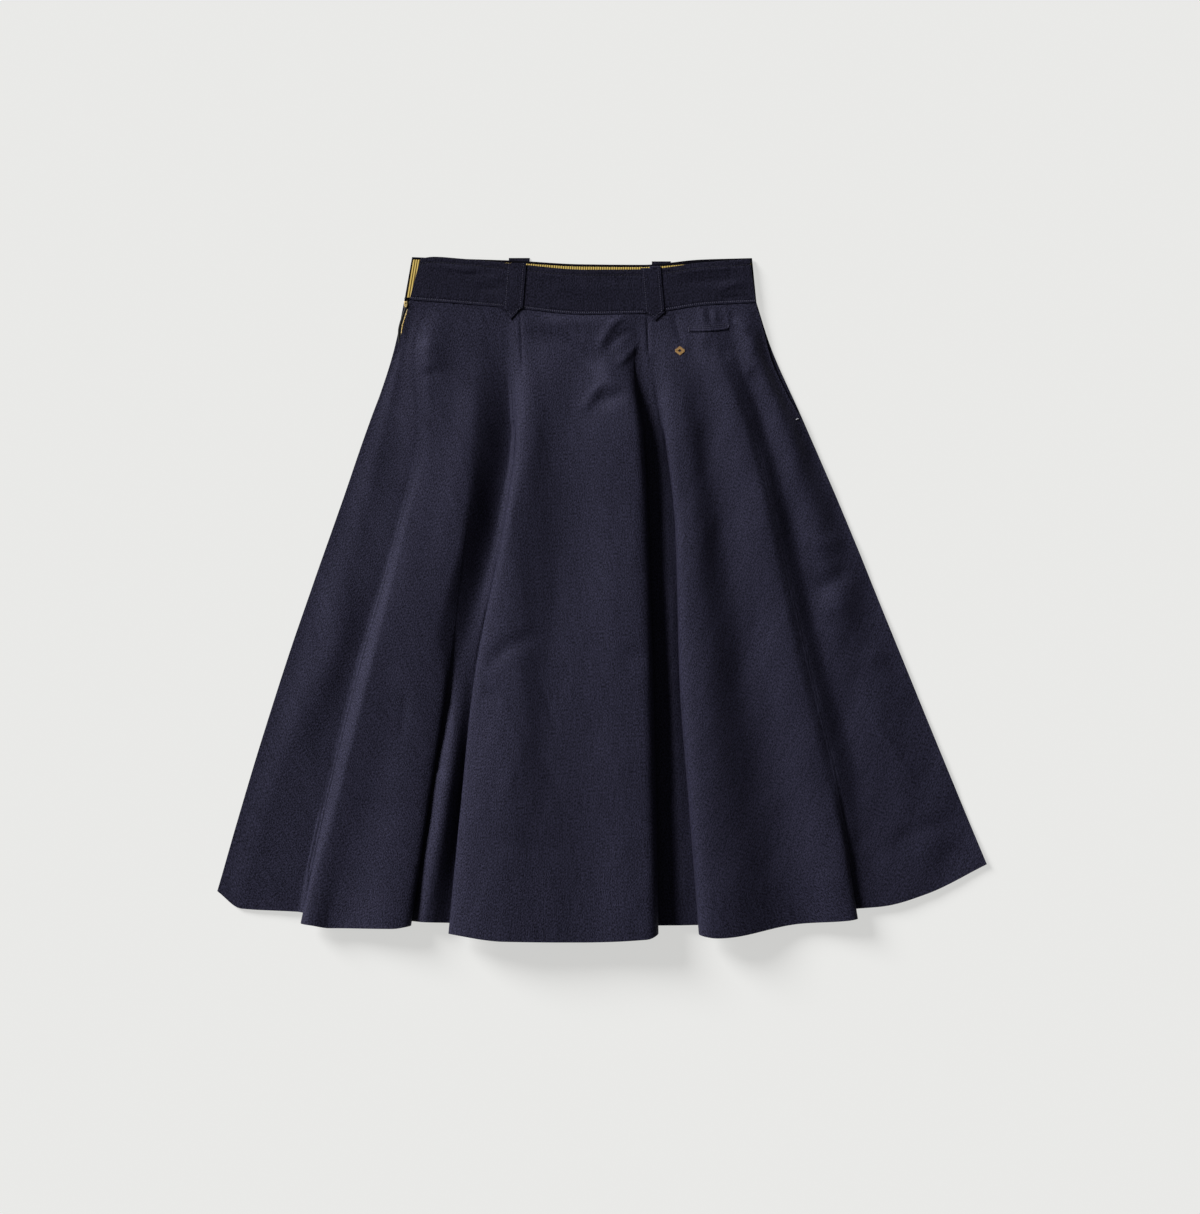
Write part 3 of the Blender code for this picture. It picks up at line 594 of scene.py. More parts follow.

# %% [markdown]
# ## Creases placed one by one
#
# A pressed cotton skirt still carries soft marks: drag lines below the waist, where the band pulls the
# cloth, and shallow creases from folding. Each one is a row of a table with its two ends, how far it bows
# to the left of its run, its half width, its height (below zero for a trough), and how much it leans, which
# makes one flank steeper. A noise texture would look the same all over; a table puts each mark where a
# hand or a seam made it.

# %% Creases and how they shape cloth
Crease = namedtuple("Crease", "x0 y0 x1 y1 bow width height lean")
TAPER = 0.35


def relief(creases, x, y):
    """The height that a table of creases adds at each place (x, y)."""
    height = np.zeros_like(x)
    for crease in creases:
        run = np.array([crease.x1 - crease.x0, crease.y1 - crease.y0])
        length = float(np.hypot(*run))
        forward = run / length
        dx, dy = x - crease.x0, y - crease.y0
        along = (dx * forward[0] + dy * forward[1]) / length
        left = dy * forward[0] - dx * forward[1] - crease.bow * 4 * along * (1 - along)
        width = crease.width * np.where(left > 0, 1 + crease.lean, 1 - crease.lean)
        ends = smooth(0.0, TAPER, along) * (1 - smooth(1 - TAPER, 1.0, along))
        height += crease.height * ends * np.exp(-((left / width) ** 2))
    return height


FRONT_CREASES = (
    # The darts below the belt loops.
    Crease(-82.5, 300.0, -79.0, 212.0, 0.0, 1.5, -0.6, 0.0),
    Crease(-89.0, 284.0, -83.0, 222.0, 1.5, 5.0, 0.7, 0.0),
    Crease(45.0, 298.0, 47.0, 236.0, 0.0, 1.5, -0.8, 0.0),
    # Drag lines below the middle of the band.
    Crease(-64.0, 281.0, 34.0, 277.0, 0.0, 11.0, 1.2, 0.0),
    Crease(-66.0, 290.0, 0.0, 240.0, 5.0, 13.0, 1.5, 0.0),
    Crease(-80.0, 272.0, 4.0, 214.0, 9.0, 10.0, -2.8, 0.0),
    Crease(31.0, 288.0, -4.0, 242.0, -7.0, 3.6, 1.5, -0.3),
    Crease(34.0, 270.0, 2.0, 242.0, -5.0, 4.4, -1.1, 0.0),
    Crease(38.0, 262.0, 10.0, 230.0, 4.0, 3.6, 1.4, -0.3),
    Crease(34.0, 258.0, 48.0, 232.0, 2.0, 5.0, 0.6, 0.0),
    Crease(2.0, 246.0, 24.0, 196.0, -4.0, 8.0, 1.0, 0.0),
    Crease(5.0, 220.0, -21.0, 182.0, -1.0, 3.4, 1.9, -0.35),
    Crease(26.0, 208.0, -12.0, 192.0, 0.0, 8.0, -2.2, 0.0),
    # The left hip and the pocket side.
    Crease(-180.0, 262.0, -166.0, 222.0, 2.0, 12.0, 0.9, 0.0),
    Crease(-184.0, 222.0, -160.0, 226.0, 1.0, 6.0, -0.8, 0.0),
    Crease(72.0, 292.0, 82.0, 252.0, -2.0, 4.0, -1.0, 0.0),
    Crease(98.0, 296.0, 104.0, 270.0, 0.0, 3.4, 0.7, 0.0),
    Crease(105.0, 296.0, 110.0, 272.0, 0.0, 3.0, -0.7, 0.0),
    Crease(112.0, 296.0, 114.0, 274.0, 0.0, 3.2, 0.6, 0.0),
    Crease(124.0, 296.0, 128.0, 268.0, 0.0, 3.4, 0.7, 0.0),
    Crease(130.0, 280.0, 150.0, 262.0, 1.0, 3.2, 1.2, 0.3),
    Crease(100.0, 262.0, 134.0, 244.0, -6.0, 9.0, -1.4, 0.0),
    Crease(132.0, 246.0, 148.0, 219.0, 4.0, 5.0, 0.7, 0.0),
    Crease(143.0, 218.0, 156.0, 240.0, 2.0, 5.0, 0.7, 0.0),
    # The middle fold.
    Crease(-120.0, -76.0, -56.0, -36.0, 9.0, 6.0, -2.2, 0.0),
    Crease(-124.0, -96.0, -98.0, -101.0, 0.0, 5.0, -1.4, 0.0),
    Crease(-95.0, -96.0, -70.0, -147.0, 0.0, 2.2, -0.7, 0.0),
    Crease(-72.0, -56.0, -46.0, -136.0, 2.0, 2.0, -0.7, 0.0),
    Crease(-45.0, -38.0, -34.0, -110.0, 1.0, 1.8, -0.7, 0.0),
    Crease(-13.0, -16.0, -36.0, -116.0, -2.0, 2.0, 0.7, 0.0),
    Crease(-94.0, -110.0, -20.0, -245.0, 6.0, 5.0, -0.6, 0.0),
    Crease(16.0, -56.0, 48.0, -60.0, 0.0, 5.0, -1.2, 0.0),
    # The left fold and side.
    Crease(-195.0, -84.0, -203.0, -150.0, 1.0, 3.6, -0.5, 0.0),
    Crease(-178.0, -172.0, -152.0, -168.0, 0.0, 5.0, -1.0, 0.0),
    Crease(-270.0, -22.0, -288.0, -66.0, 0.0, 3.2, -1.0, 0.0),
    # The right side.
    Crease(206.0, 50.0, 250.0, 60.0, 2.0, 7.0, 1.6, 0.0),
    Crease(207.0, 8.0, 252.0, 34.0, -4.0, 8.0, -2.6, 0.0),
    Crease(214.0, -14.0, 252.0, -6.0, 0.0, 8.0, 1.3, 0.0),
    Crease(262.0, -60.0, 288.0, -54.0, 0.0, 5.0, 1.2, 0.0),
    Crease(258.0, -102.0, 322.0, -206.0, 2.0, 3.4, 1.1, 0.3),
    Crease(280.0, -250.0, 360.0, -218.0, 2.0, 4.0, -1.4, 0.0),
    Crease(322.0, -236.0, 362.0, -250.0, 0.0, 3.4, 1.3, 0.2),
    # The turned-up hem's upper edge.
    Crease(-372.0, -262.0, -296.0, -276.0, -1.0, 1.6, 0.35, 0.0),
    Crease(-290.0, -283.0, -182.0, -286.0, -1.0, 1.6, 0.35, 0.0),
    Crease(-142.0, -291.0, 44.0, -292.0, -2.0, 1.6, 0.4, 0.0),
    Crease(92.0, -289.0, 246.0, -278.0, -2.0, 1.6, 0.35, 0.0),
    Crease(288.0, -270.0, 374.0, -236.0, 2.0, 1.6, 0.35, 0.0),
    # Soft dents in the lower half of the middle and left folds.
    Crease(-118.0, -236.0, -30.0, -252.0, -3.0, 9.0, -0.8, 0.0),
    Crease(-250.0, -196.0, -206.0, -236.0, 2.0, 10.0, -1.0, 0.0),
)
print(len(FRONT_CREASES), "creases on the front")

# %% [markdown]
# ## Unevenness of the cloth
#
# Between its creases laid cloth is never quite true. Two sizes of smooth noise, drawn out along the fall of
# the skirt, lift and sink it by about a millimetre. The noise is read at the cloth's place on the flat
# cut, so it goes round the folds with the cloth.

# %% Gentle waves
Wave = namedtuple("Wave", "across along height seed")
WAVES = (Wave(46.0, 130.0, 1.5, 3.1), Wave(17.0, 44.0, 0.42, 7.7))


def cut_places(x, z, down):
    """Where each point lies on the flat quarter ring: radius, and angle from the middle."""
    radius = WAIST_RADIUS + SLANT * down
    share = np.array([run_along(np.stack(row, axis=1)) for row in zip(x, z)])
    share /= share[:, -1:]
    return np.broadcast_to(radius[:, None], x.shape), (share - 0.5) * CUT_ANGLE


def waves(radius, angle):
    """The height of gentle waves at places on the cut."""
    height = np.zeros(radius.shape)
    for wave in WAVES:
        for place, r in np.ndenumerate(radius):
            at = Vector((r * angle[place] / wave.across, r / wave.along, wave.seed))
            height[place] += wave.height * noise.noise(at)
    return height


def height_above(x, z):
    """How much cloth of the same row lies above each point: 0 on top, more on a hidden layer."""
    above = np.zeros_like(x)
    for row in range(len(x)):
        xs, zs = x[row], z[row]
        x0, x1, z0, z1 = xs[:-1], xs[1:], zs[:-1], zs[1:]
        share = (xs[:, None] - x0) / np.where(np.abs(x1 - x0) < 1e-9, 1e-9, x1 - x0)
        over = np.where((share >= 0) & (share <= 1), z0 + share * (z1 - z0), -1e9)
        above[row] = np.maximum(over.max(axis=1) - zs, 0.0)
    return above

# %% [markdown]
# ## A cloth piece
#
# A sheet of points becomes cloth in three steps: faces between the points, a wall with Solidify, and a
# narrow Bevel on the wall's rim, because cut and turned edges are never knife sharp. The piece keeps a UV
# map of its places on the flat cut, so that the weave follows the cloth and not the room.

# %% Make cloth from rows of points
MAP_SIZE = 1300.0
RIM_ROUND = 0.3
RIM_ANGLE = math.radians(50.0)


def cloth_piece(name, rows, wall, finish, cut):
    """Cloth on rows of points in mm, which run down the piece, each to the right, with the face up.

    cut holds each point's place on the flat cut, in mm.
    """
    rows, cut = np.asarray(rows, dtype=float), np.asarray(cut, dtype=float)
    tall, wide = rows.shape[:2]
    faces = [
        (r * wide + c, (r + 1) * wide + c, (r + 1) * wide + c + 1, r * wide + c + 1)
        for r in range(tall - 1)
        for c in range(wide - 1)
    ]
    mesh = bpy.data.meshes.new(name)
    mesh.from_pydata((rows.reshape(-1, 3) * MM).tolist(), [], faces)
    mesh.polygons.foreach_set("use_smooth", [True] * len(faces))
    mesh.materials.append(finish)
    corners = np.array([loop.vertex_index for loop in mesh.loops])
    layer = mesh.uv_layers.new(name="cut")
    places = (cut.reshape(-1, 2) - cut.reshape(-1, 2).min(axis=0)) / MAP_SIZE
    layer.uv.foreach_set("vector", places[corners].astype(np.float32).ravel())
    piece = bpy.data.objects.new(name, mesh)
    bpy.context.collection.objects.link(piece)
    thicken = piece.modifiers.new("Wall", "SOLIDIFY")
    thicken.thickness = wall * MM
    thicken.offset = 0.0
    soften = piece.modifiers.new("Soft rim", "BEVEL")
    soften.width = RIM_ROUND * wall * MM
    soften.segments = 2
    soften.limit_method = "ANGLE"
    soften.angle_limit = RIM_ANGLE
    soften.harden_normals = True
    print(f"{name}: {tall} by {wide} points, wall {wall} mm")
    return piece

# %% [markdown]
# ## Adding nodes
#
# Materials and geometry trees are built by one small helper: it makes a node, sets its properties, and
# fills its inputs with values or with links from other nodes.

# %% The node helper and colours


def add(tree, kind, inputs=None, **settings):
    """Adds a node. inputs maps a socket's name or number to a value or to another node's output."""
    node = tree.nodes.new(kind)
    for name, value in settings.items():
        setattr(node, name, value)
    for socket, value in (inputs or {}).items():
        if isinstance(value, bpy.types.NodeSocket):
            tree.links.new(value, node.inputs[socket])
        else:
            node.inputs[socket].default_value = value
    return node


def colour(code):
    """An sRGB hex code as the linear colour that sockets take."""
    values = [int(code[i : i + 2], 16) / 255 for i in (1, 3, 5)]
    linear = [v / 12.92 if v <= 0.04045 else ((v + 0.055) / 1.055) ** 2.4 for v in values]
    return (*linear, 1.0)


def new_material(name, **values):
    """A material with the constant values set on its shader's own sockets."""
    material = bpy.data.materials.new(name)
    material.use_nodes = True
    shader = material.node_tree.nodes["Principled BSDF"]
    for socket, value in values.items():
        shader.inputs[socket.replace("_", " ")].default_value = value
    return material, material.node_tree, shader

# %% [markdown]
# ## Navy cotton sateen
#
# Sateen floats its weft over several warp threads, so the face is smooth with a soft, broad gleam. The
# yarns are about half a millimetre apart, too fine to show from across a room, so they are drawn twice as
# coarse. Each float catches the light a little differently, which freckles the face, and uneven yarns give
# the cloth its faint streaks along the grain. The waistband is cut across the grain and gleams less, and
# its colours are painted darker than the skirt's, as painted shade. Its back half is painted nearly black,
# as the shade along its edge under the front.

# %% Cloth material
NAVY = "#333245"
NAVY_DEEP = "#0d0d16"
YARN_MM = 1.1
FLOAT_MM = 2.2
SLUB_MM = 26.0
FLOAT_HEIGHT = 0.0006
FLOATS_FROM, FLOATS_TO = 0.32, 0.68
SLUBS_FROM, SLUBS_TO = 0.35, 0.65
SLUB_TONE = 0.18


def sateen(name, dark, light, roughness, gleam=0.25):
    """Woven cotton with a soft gleam. Its pattern reads the cloth's own map of the cut."""
    material, tree, shader = new_material(
        name,
        Roughness=roughness,
        IOR=1.5,
        Specular_IOR_Level=gleam,
        Specular_Tint=colour("#d5d2ff"),
    )
    cut = add(tree, "ShaderNodeUVMap", uv_map="cut").outputs["UV"]

    def yarns(length, detail):
        scale = (MAP_SIZE / YARN_MM, MAP_SIZE / length, 1.0)
        stretched = add(tree, "ShaderNodeMapping", {"Vector": cut, "Scale": scale}).outputs[0]
        values = {"Vector": stretched, "Scale": 1.0, "Detail": detail}
        return add(tree, "ShaderNodeTexNoise", values).outputs[0]

    floats = add(
        tree, "ShaderNodeMapRange",
        {0: yarns(FLOAT_MM, 1.0), 1: FLOATS_FROM, 2: FLOATS_TO, 3: 0.0, 4: 1.0},
    )
    slubs = add(
        tree, "ShaderNodeMapRange",
        {0: yarns(SLUB_MM, 2.0), 1: SLUBS_FROM, 2: SLUBS_TO, 3: -SLUB_TONE, 4: SLUB_TONE},
    )
    tone = add(tree, "ShaderNodeMath", {0: floats.outputs[0], 1: slubs.outputs[0]}, use_clamp=True)
    blend = add(tree, "ShaderNodeMix", {0: tone.outputs[0]}, data_type="RGBA")
    blend.inputs[6].default_value = colour(dark)
    blend.inputs[7].default_value = colour(light)
    tree.links.new(blend.outputs[2], shader.inputs["Base Color"])
    raised = {"Height": yarns(FLOAT_MM, 2.0), "Strength": 1.0, "Distance": FLOAT_HEIGHT}
    bump = add(tree, "ShaderNodeBump", raised)
    tree.links.new(bump.outputs[0], shader.inputs["Normal"])
    return material


navy_sateen = sateen("navy cotton sateen", NAVY_DEEP, NAVY, 0.62)
# Painted shade: the band's and loops' colours are darker than the skirt's, standing in for their duller
# light.
shaded_cross_sateen = sateen("navy cotton sateen across the grain", "#0b0b13", "#292838", 0.66, 0.15)
# Painted shade: the back band is painted nearly black for the shade along its edge under the front.
shade_black_sateen = sateen("navy cotton sateen painted near black as shade", "#020204", "#0a0a10", 0.8, 0.12)
print("cloth finishes:", navy_sateen.name, "/", shaded_cross_sateen.name, "/", shade_black_sateen.name)

# %% [markdown]
# ## Shaping the front
#
# The front is read row by row, finer near the waist where the creases are small. Creases and waves lift
# only what lies on top: a hidden layer keeps its place, so it can't poke through its neighbour.

# %% The front panel
HEM_DEPTH = 50.0
HEM_LINE_WIDTH = 1.6
HEM_LINE_DEPTH = 0.35
SHELL = 0.8
SEAM_TUCK = 0.2
Rows = namedtuple("Rows", "fine_to fine_step step")
FRONT_ROWS = Rows(0.22, 2.3, 6.4)
LIES_ON_TOP = (0.3, 1.6)
CREASES_FROM_SEAM = 0.012
WAVES_FROM_SEAM = 0.05


def row_heights(rows):
    """Shares of the way down, in fine steps (mm) at first and wider ones below."""
    fine = round(rows.fine_to * SLANT / rows.fine_step)
    coarse = round((1 - rows.fine_to) * SLANT / rows.step)
    near_waist = np.linspace(0, rows.fine_to, fine, endpoint=False)
    return np.concatenate([near_waist, np.linspace(rows.fine_to, 1, coarse)])


def panel(keys_at, detail, downs, waist_y, hem_y_at):
    """A panel's x, y and z, each an array of rows by columns."""
    counts = column_counts(keys_at(1.0), detail)
    sections = np.array([section(keys_at(down), counts, detail) for down in downs])
    x, z = sections[:, :, 0], sections[:, :, 1]
    top = np.array([waist_y(at) + SEAM_TUCK for at in x[0]])
    hem = hem_y_at(x[-1], counts)
    y = mix(top[None, :], hem[None, :], downs[:, None])
    return x, y, z


def hem_line(y, hem_y):
    """The faint line of a turned-up hem, where the second layer of cloth ends."""
    above = y - hem_y[None, :] - HEM_DEPTH
    return -HEM_LINE_DEPTH * np.exp(-((above / HEM_LINE_WIDTH) ** 2))


def on_cut(radius, angle):
    return np.stack([radius * np.sin(angle), -radius * np.cos(angle)], axis=-1)


def make_front():
    downs = row_heights(FRONT_ROWS)
    x, y, z = panel(
        front_keys, FRONT_DETAIL, downs, front_seam_y,
        lambda xs, counts: hem_along(front_keys(1.0), counts, FRONT_DETAIL),
    )
    radius, angle = cut_places(x, z, downs)
    free = 1 - smooth(*LIES_ON_TOP, height_above(x, z))
    creased = smooth(0.0, CREASES_FROM_SEAM, downs)[:, None]
    waved = smooth(0.0, WAVES_FROM_SEAM, downs)[:, None]
    z = z + free * (relief(FRONT_CREASES, x, y) * creased)
    z = z + free * (waved * waves(radius, angle) + hem_line(y, y[-1]))
    points = np.stack([x, y, z], axis=-1)
    return cloth_piece("skirt_front_cloth", points, SHELL, navy_sateen, on_cut(radius, angle))


front = make_front()

# %% [markdown]
# ## Shaping the back
#
# The back rests on the surface, so its creases only lift it. It is drawn more coarsely.

# %% The back panel
BACK_CREASES = (
    Crease(-150.0, 200.0, -120.0, 60.0, 6.0, 7.0, 0.9, 0.0),
    Crease(40.0, 240.0, 70.0, 120.0, -5.0, 7.0, 0.8, 0.0),
    Crease(-240.0, 20.0, -190.0, -70.0, 5.0, 8.0, 0.9, 0.0),
    Crease(120.0, 30.0, 180.0, -60.0, 4.0, 8.0, 0.8, 0.0),
    Crease(260.0, -60.0, 300.0, -190.0, 4.0, 6.0, 0.8, 0.0),
    Crease(-90.0, -130.0, -60.0, -250.0, -4.0, 7.0, 0.8, 0.0),
)
BACK_ROWS = Rows(0.15, 6.0, 8.0)
BACK_LIES_ON_TOP = (0.2, 0.8)
BACK_CREASES_FROM = (0.04, 0.12)


def make_back():
    downs = row_heights(BACK_ROWS)
    x, y, z = panel(
        back_keys, BACK_DETAIL, downs, back_seam_y,
        lambda xs, counts: np.array([curve(BACK_HEM_X, BACK_HEM_Y, at) for at in xs]),
    )
    radius, angle = cut_places(x, z, downs)
    free = 1 - smooth(*BACK_LIES_ON_TOP, height_above(x, z))
    creased = smooth(*BACK_CREASES_FROM, downs)[:, None]
    z = z + free * creased * relief(BACK_CREASES, x, y)
    points = np.stack([x, y, z], axis=-1)
    return cloth_piece("skirt_back_cloth", points, CLOTH, navy_sateen, on_cut(radius, angle))


back = make_back()

# %% [markdown]
# ## The waistband
#
# The band is a straight strip, double and pressed, so it is thicker and stiffer than the skirt. Its front
# half is stitched along both edges. The stitching pulls the cloth in, which shows as a shallow groove.

# %% Front and back bands
BAND_COLUMNS = 150
BAND_ROWS = 19
STITCH_IN = 5.5
SEAM_STITCH_IN = 2.2
GROOVE_WIDTH = 1.1
GROOVE_DEPTH = 0.42

BAND_CREASES = (
    # Ripples between the top stitching and the middle.
    Crease(-172.0, 334.5, -98.0, 326.0, -2.0, 2.6, 0.6, 0.3),
    Crease(-140.0, 323.0, -100.0, 327.0, 2.0, 2.6, -0.6, 0.0),
    Crease(-130.0, 314.0, -98.0, 310.0, -2.0, 4.0, -0.7, 0.0),
    Crease(-118.0, 322.0, -98.0, 318.0, 1.0, 2.6, 0.5, 0.0),
    Crease(-70.0, 326.0, -30.0, 320.0, 2.0, 4.0, 0.5, 0.0),
    Crease(-60.0, 312.0, 20.0, 306.0, 2.0, 7.0, 0.5, 0.0),
    Crease(-10.0, 324.0, 36.0, 318.0, -2.0, 4.0, -0.5, 0.0),
    # Ripples towards the right end.
    Crease(62.0, 325.0, 146.0, 331.0, 2.0, 3.4, 0.7, 0.0),
    Crease(70.0, 318.0, 140.0, 322.0, -2.0, 4.0, -0.6, 0.0),
    Crease(112.0, 306.0, 146.0, 316.0, 3.0, 3.4, 0.7, 0.0),
    Crease(116.0, 300.0, 146.0, 301.0, 1.0, 2.4, -0.7, 0.0),
)


def strip(low_ends, low_y, high_ends, high_y, z, columns, rows):
    """A strip between a lower and an upper edge, with its places on the flat cut."""
    across = np.linspace(0.0, 1.0, columns + 1)
    low_x, high_x = mix(*low_ends, across), mix(*high_ends, across)
    low = np.array([low_y(at) for at in low_x])
    high = np.array([high_y(at) for at in high_x])
    share = np.linspace(0.0, 1.0, rows)[:, None]
    x, y = mix(high_x, low_x, share), mix(high, low, share)
    width = low_ends[1] - low_ends[0]
    cut = np.stack(np.broadcast_arrays(across * width, share * BAND_HEIGHT), axis=-1)
    return x, y, np.full_like(x, z), cut


def make_front_band():
    low_ends = (FRONT_SEAM[0].x, FRONT_SEAM[-1].x)
    high_ends = (FRONT_TOP[0].x, FRONT_TOP[-1].x)
    x, y, z, cut = strip(
        low_ends, front_seam_y, high_ends, front_top_y, FRONT_BAND_Z, BAND_COLUMNS, BAND_ROWS * 2
    )
    groove = np.exp(-(((y[0] - y - STITCH_IN) / GROOVE_WIDTH) ** 2))
    groove += np.exp(-(((y - y[-1] - SEAM_STITCH_IN) / GROOVE_WIDTH) ** 2))
    z = z + relief(BAND_CREASES, x, y) - GROOVE_DEPTH * groove
    points = np.stack([x, y, z], axis=-1)
    return cloth_piece("waistband_front_cloth", points, BAND_CLOTH, shaded_cross_sateen, cut)


def make_back_band():
    high_ends = (BACK_TOP[0].x, BACK_TOP[-1].x)
    x, y, z, cut = strip(
        BACK_SEAM_ENDS, back_seam_y, high_ends, back_top_y, BACK_BAND_Z, BAND_COLUMNS // 2, BAND_ROWS
    )
    points = np.stack([x, y, z], axis=-1)
    return cloth_piece("waistband_back_cloth", points, BAND_CLOTH, shade_black_sateen, cut)


front_band = make_front_band()
back_band = make_back_band()

# %% [markdown]
# ## Ribbed tape
#
# The back band is lined with grosgrain, a gold ribbed tape, and the zip's tape is woven like it. A strip
# along the zip tape's outer edge is painted near black, as painted shade of the gap beside the front. Here
# the ribs are a couple of millimetres apart, and a bump is enough at their size. Their crowns are also
# painted lighter and their grooves olive, as painted highlight and shade.

# %% Gold grosgrain
RIB_MM = 2.4
RIB_HEIGHT = 0.0004
# A wave texture of this scale has about one wave in each unit.
ONE_WAVE = 0.3183
SHADE_EDGE_WIDTH = 3.3


def grosgrain(name, dark, light, shade_edge_width=0.0):
    """Ribbed satin tape: the rib crowns are painted light and the grooves olive, as painted highlight
    and shade, and an edge strip is painted black as shade.
    """
    material, tree, shader = new_material(name, Roughness=0.5, IOR=1.5)
    cut = add(tree, "ShaderNodeUVMap", uv_map="cut")
    per_rib = (MAP_SIZE / RIB_MM, 1.0, 1.0)
    across = add(tree, "ShaderNodeMapping", {"Vector": cut.outputs["UV"], "Scale": per_rib})
    wave = {"Vector": across.outputs[0], "Scale": ONE_WAVE, "Distortion": 1.2}
    ribs = add(tree, "ShaderNodeTexWave", wave)
    # Painted highlight and shade: the rib crowns are lighter and the grooves olive.
    blend = add(tree, "ShaderNodeMix", {0: ribs.outputs[1]}, data_type="RGBA")
    blend.inputs[6].default_value = colour(dark)
    blend.inputs[7].default_value = colour(light)
    # Painted shade: the edge strip's near black stands for the gap beside the front.
    apart = add(tree, "ShaderNodeSeparateXYZ", {0: cut.outputs["UV"]})
    within = {0: apart.outputs[0], 1: shade_edge_width / MAP_SIZE}
    in_shade_edge = add(tree, "ShaderNodeMath", within, operation="LESS_THAN")
    shade_edged = add(tree, "ShaderNodeMix", {0: in_shade_edge.outputs[0], 6: blend.outputs[2]}, data_type="RGBA")
    shade_edged.inputs[7].default_value = colour("#060607")
    tree.links.new(shade_edged.outputs[2], shader.inputs["Base Color"])
    raised = {"Height": ribs.outputs[1], "Strength": 0.8, "Distance": RIB_HEIGHT}
    bump = add(tree, "ShaderNodeBump", raised)
    tree.links.new(bump.outputs[0], shader.inputs["Normal"])
    return material


gold_grosgrain = grosgrain("gold rayon grosgrain with painted rib light and shade", "#84691c", "#efcf6a")
zip_weave = grosgrain("gold zip tape with a black selvedge", "#9c8040", "#d8c07c", SHADE_EDGE_WIDTH)

# %% [markdown]
# ## Lining tape, zip tape and pocket edges
#
# Where the front dips, the back band's gold lining shows as a thin bright line, and at the left end as a
# narrow strip. The zip's tape carries on below it, and at the right a strip of facing shows where the side
# pocket gapes. All are flat strips. One helper lays the last two between two edges, and the lining's shape
# is found as the band's was.

# %% Flat strips
LINING_IN = 1.2
LINING_DOWN = 2.7
LINING_SINKS = 2.0
LINING_SINKS_AT = (50.0, 110.0)
LINING_ROWS = 6
LINING_HEIGHT = 38.0
ZIP_LENGTH = 43.0
ZIP_TAPE_WIDTH = 8.0
ZIP_TOP_Y = 299.0
ZIP_SHOWS = (3.2, 5.0)
ZIP_NARROWS = (0.6, 1.15)
ZIP_SINKS = (0.004, 0.065)
ON_BACK_Z = BACK_Z + CLOTH / 2 + GAP + TRIM / 2
POCKET_FACING = (0.07, 0.21)
POCKET_FACING_WIDTH = 14.0
POCKET_FACING_IN = 0.5
POCKET_FACING_TOP_Y = 296.3
STRIP_COLUMNS = 4


def lay_strip(name, left, right, z, wall, finish):
    """A strip down the skirt between two edges, each a row of (x, y) points, with heights z."""
    share = np.linspace(0.0, 1.0, STRIP_COLUMNS + 1)
    rows = [
        [(*mix(np.array(a), np.array(b), t), height) for t in share]
        for a, b, height in zip(left, right, z)
    ]
    rows = np.array(rows)
    across = share * math.dist(left[0], right[0])
    cut = np.stack(np.broadcast_arrays(across, rows[:, :, 1]), axis=-1)
    return cloth_piece(name, rows, wall, finish, cut)


def make_lining():
    """Its top sinks towards the right, where the front band nearly hides it."""
    low = (BACK_SEAM_ENDS[0] + 2.5 * LINING_IN, BACK_SEAM_ENDS[1] - 2.5 * LINING_IN)
    high = (BACK_TOP[0].x + LINING_IN, BACK_TOP[-1].x - LINING_IN)
    x, y, z, cut = strip(
        low, lambda at: back_seam_y(at) + BAND_HEIGHT - LINING_DOWN - LINING_HEIGHT,
        high, lambda at: back_top_y(at) - LINING_DOWN - LINING_SINKS * smooth(*LINING_SINKS_AT, at),
        LINING_Z, BAND_COLUMNS, LINING_ROWS,
    )
    points = np.stack([x, y, z], axis=-1)
    return cloth_piece("band_lining_tape", points, TRIM, gold_grosgrain, cut)


def make_zip_tape():
    """It starts outside the front's own edge, so that its edge strip of painted shade, a little gold and
    the teeth show.

    Towards its foot it draws in under the front.
    """
    left, right, heights = [], [], []
    for share in np.linspace(0.0, 1.0, 13):
        down = share * ZIP_LENGTH / (FRONT_SEAM[0].y - HEM_Y["side_left"])
        shows = mix(*ZIP_SHOWS, smooth(0.0, ZIP_NARROWS[0], share))
        shows *= 1.0 - smooth(*ZIP_NARROWS, share)
        edge = curve(DOWN, FRONT_LINES["side_left"], down) - shows
        y = mix(ZIP_TOP_Y, HEM_Y["side_left"], down)
        left.append((edge, y))
        right.append((edge + ZIP_TAPE_WIDTH, y))
        heights.append(mix(LINING_Z, ON_BACK_Z, smooth(*ZIP_SINKS, down)))
    return lay_strip("zip_tape_strip", left, right, heights, TRIM, zip_weave), left, heights


def make_pocket_facing():
    left, right = [], []
    for share in np.linspace(0.0, 1.0, 15):
        down = mix(*POCKET_FACING, share)
        edge = curve(DOWN, BACK_SIDES["side_right"], down) - POCKET_FACING_IN
        y = mix(POCKET_FACING_TOP_Y, HEM_Y["side_right"], down)
        left.append((edge - POCKET_FACING_WIDTH, y))
        right.append((edge, y))
    return lay_strip("pocket_facing_strip", left, right, [ON_BACK_Z] * len(left), TRIM, navy_sateen)


lining = make_lining()
zip_tape, zip_line, zip_heights = make_zip_tape()
pocket_facing = make_pocket_facing()

# %% [markdown]
# ## What lies on the cloth
#
# Loops, the welt and every stitch lie on a surface that already has its creases. So a ray is dropped onto
# the finished front and band at each point, and the point is lifted from what the ray meets.

# %% Find the surface under a place
DROP_FROM = 200.0


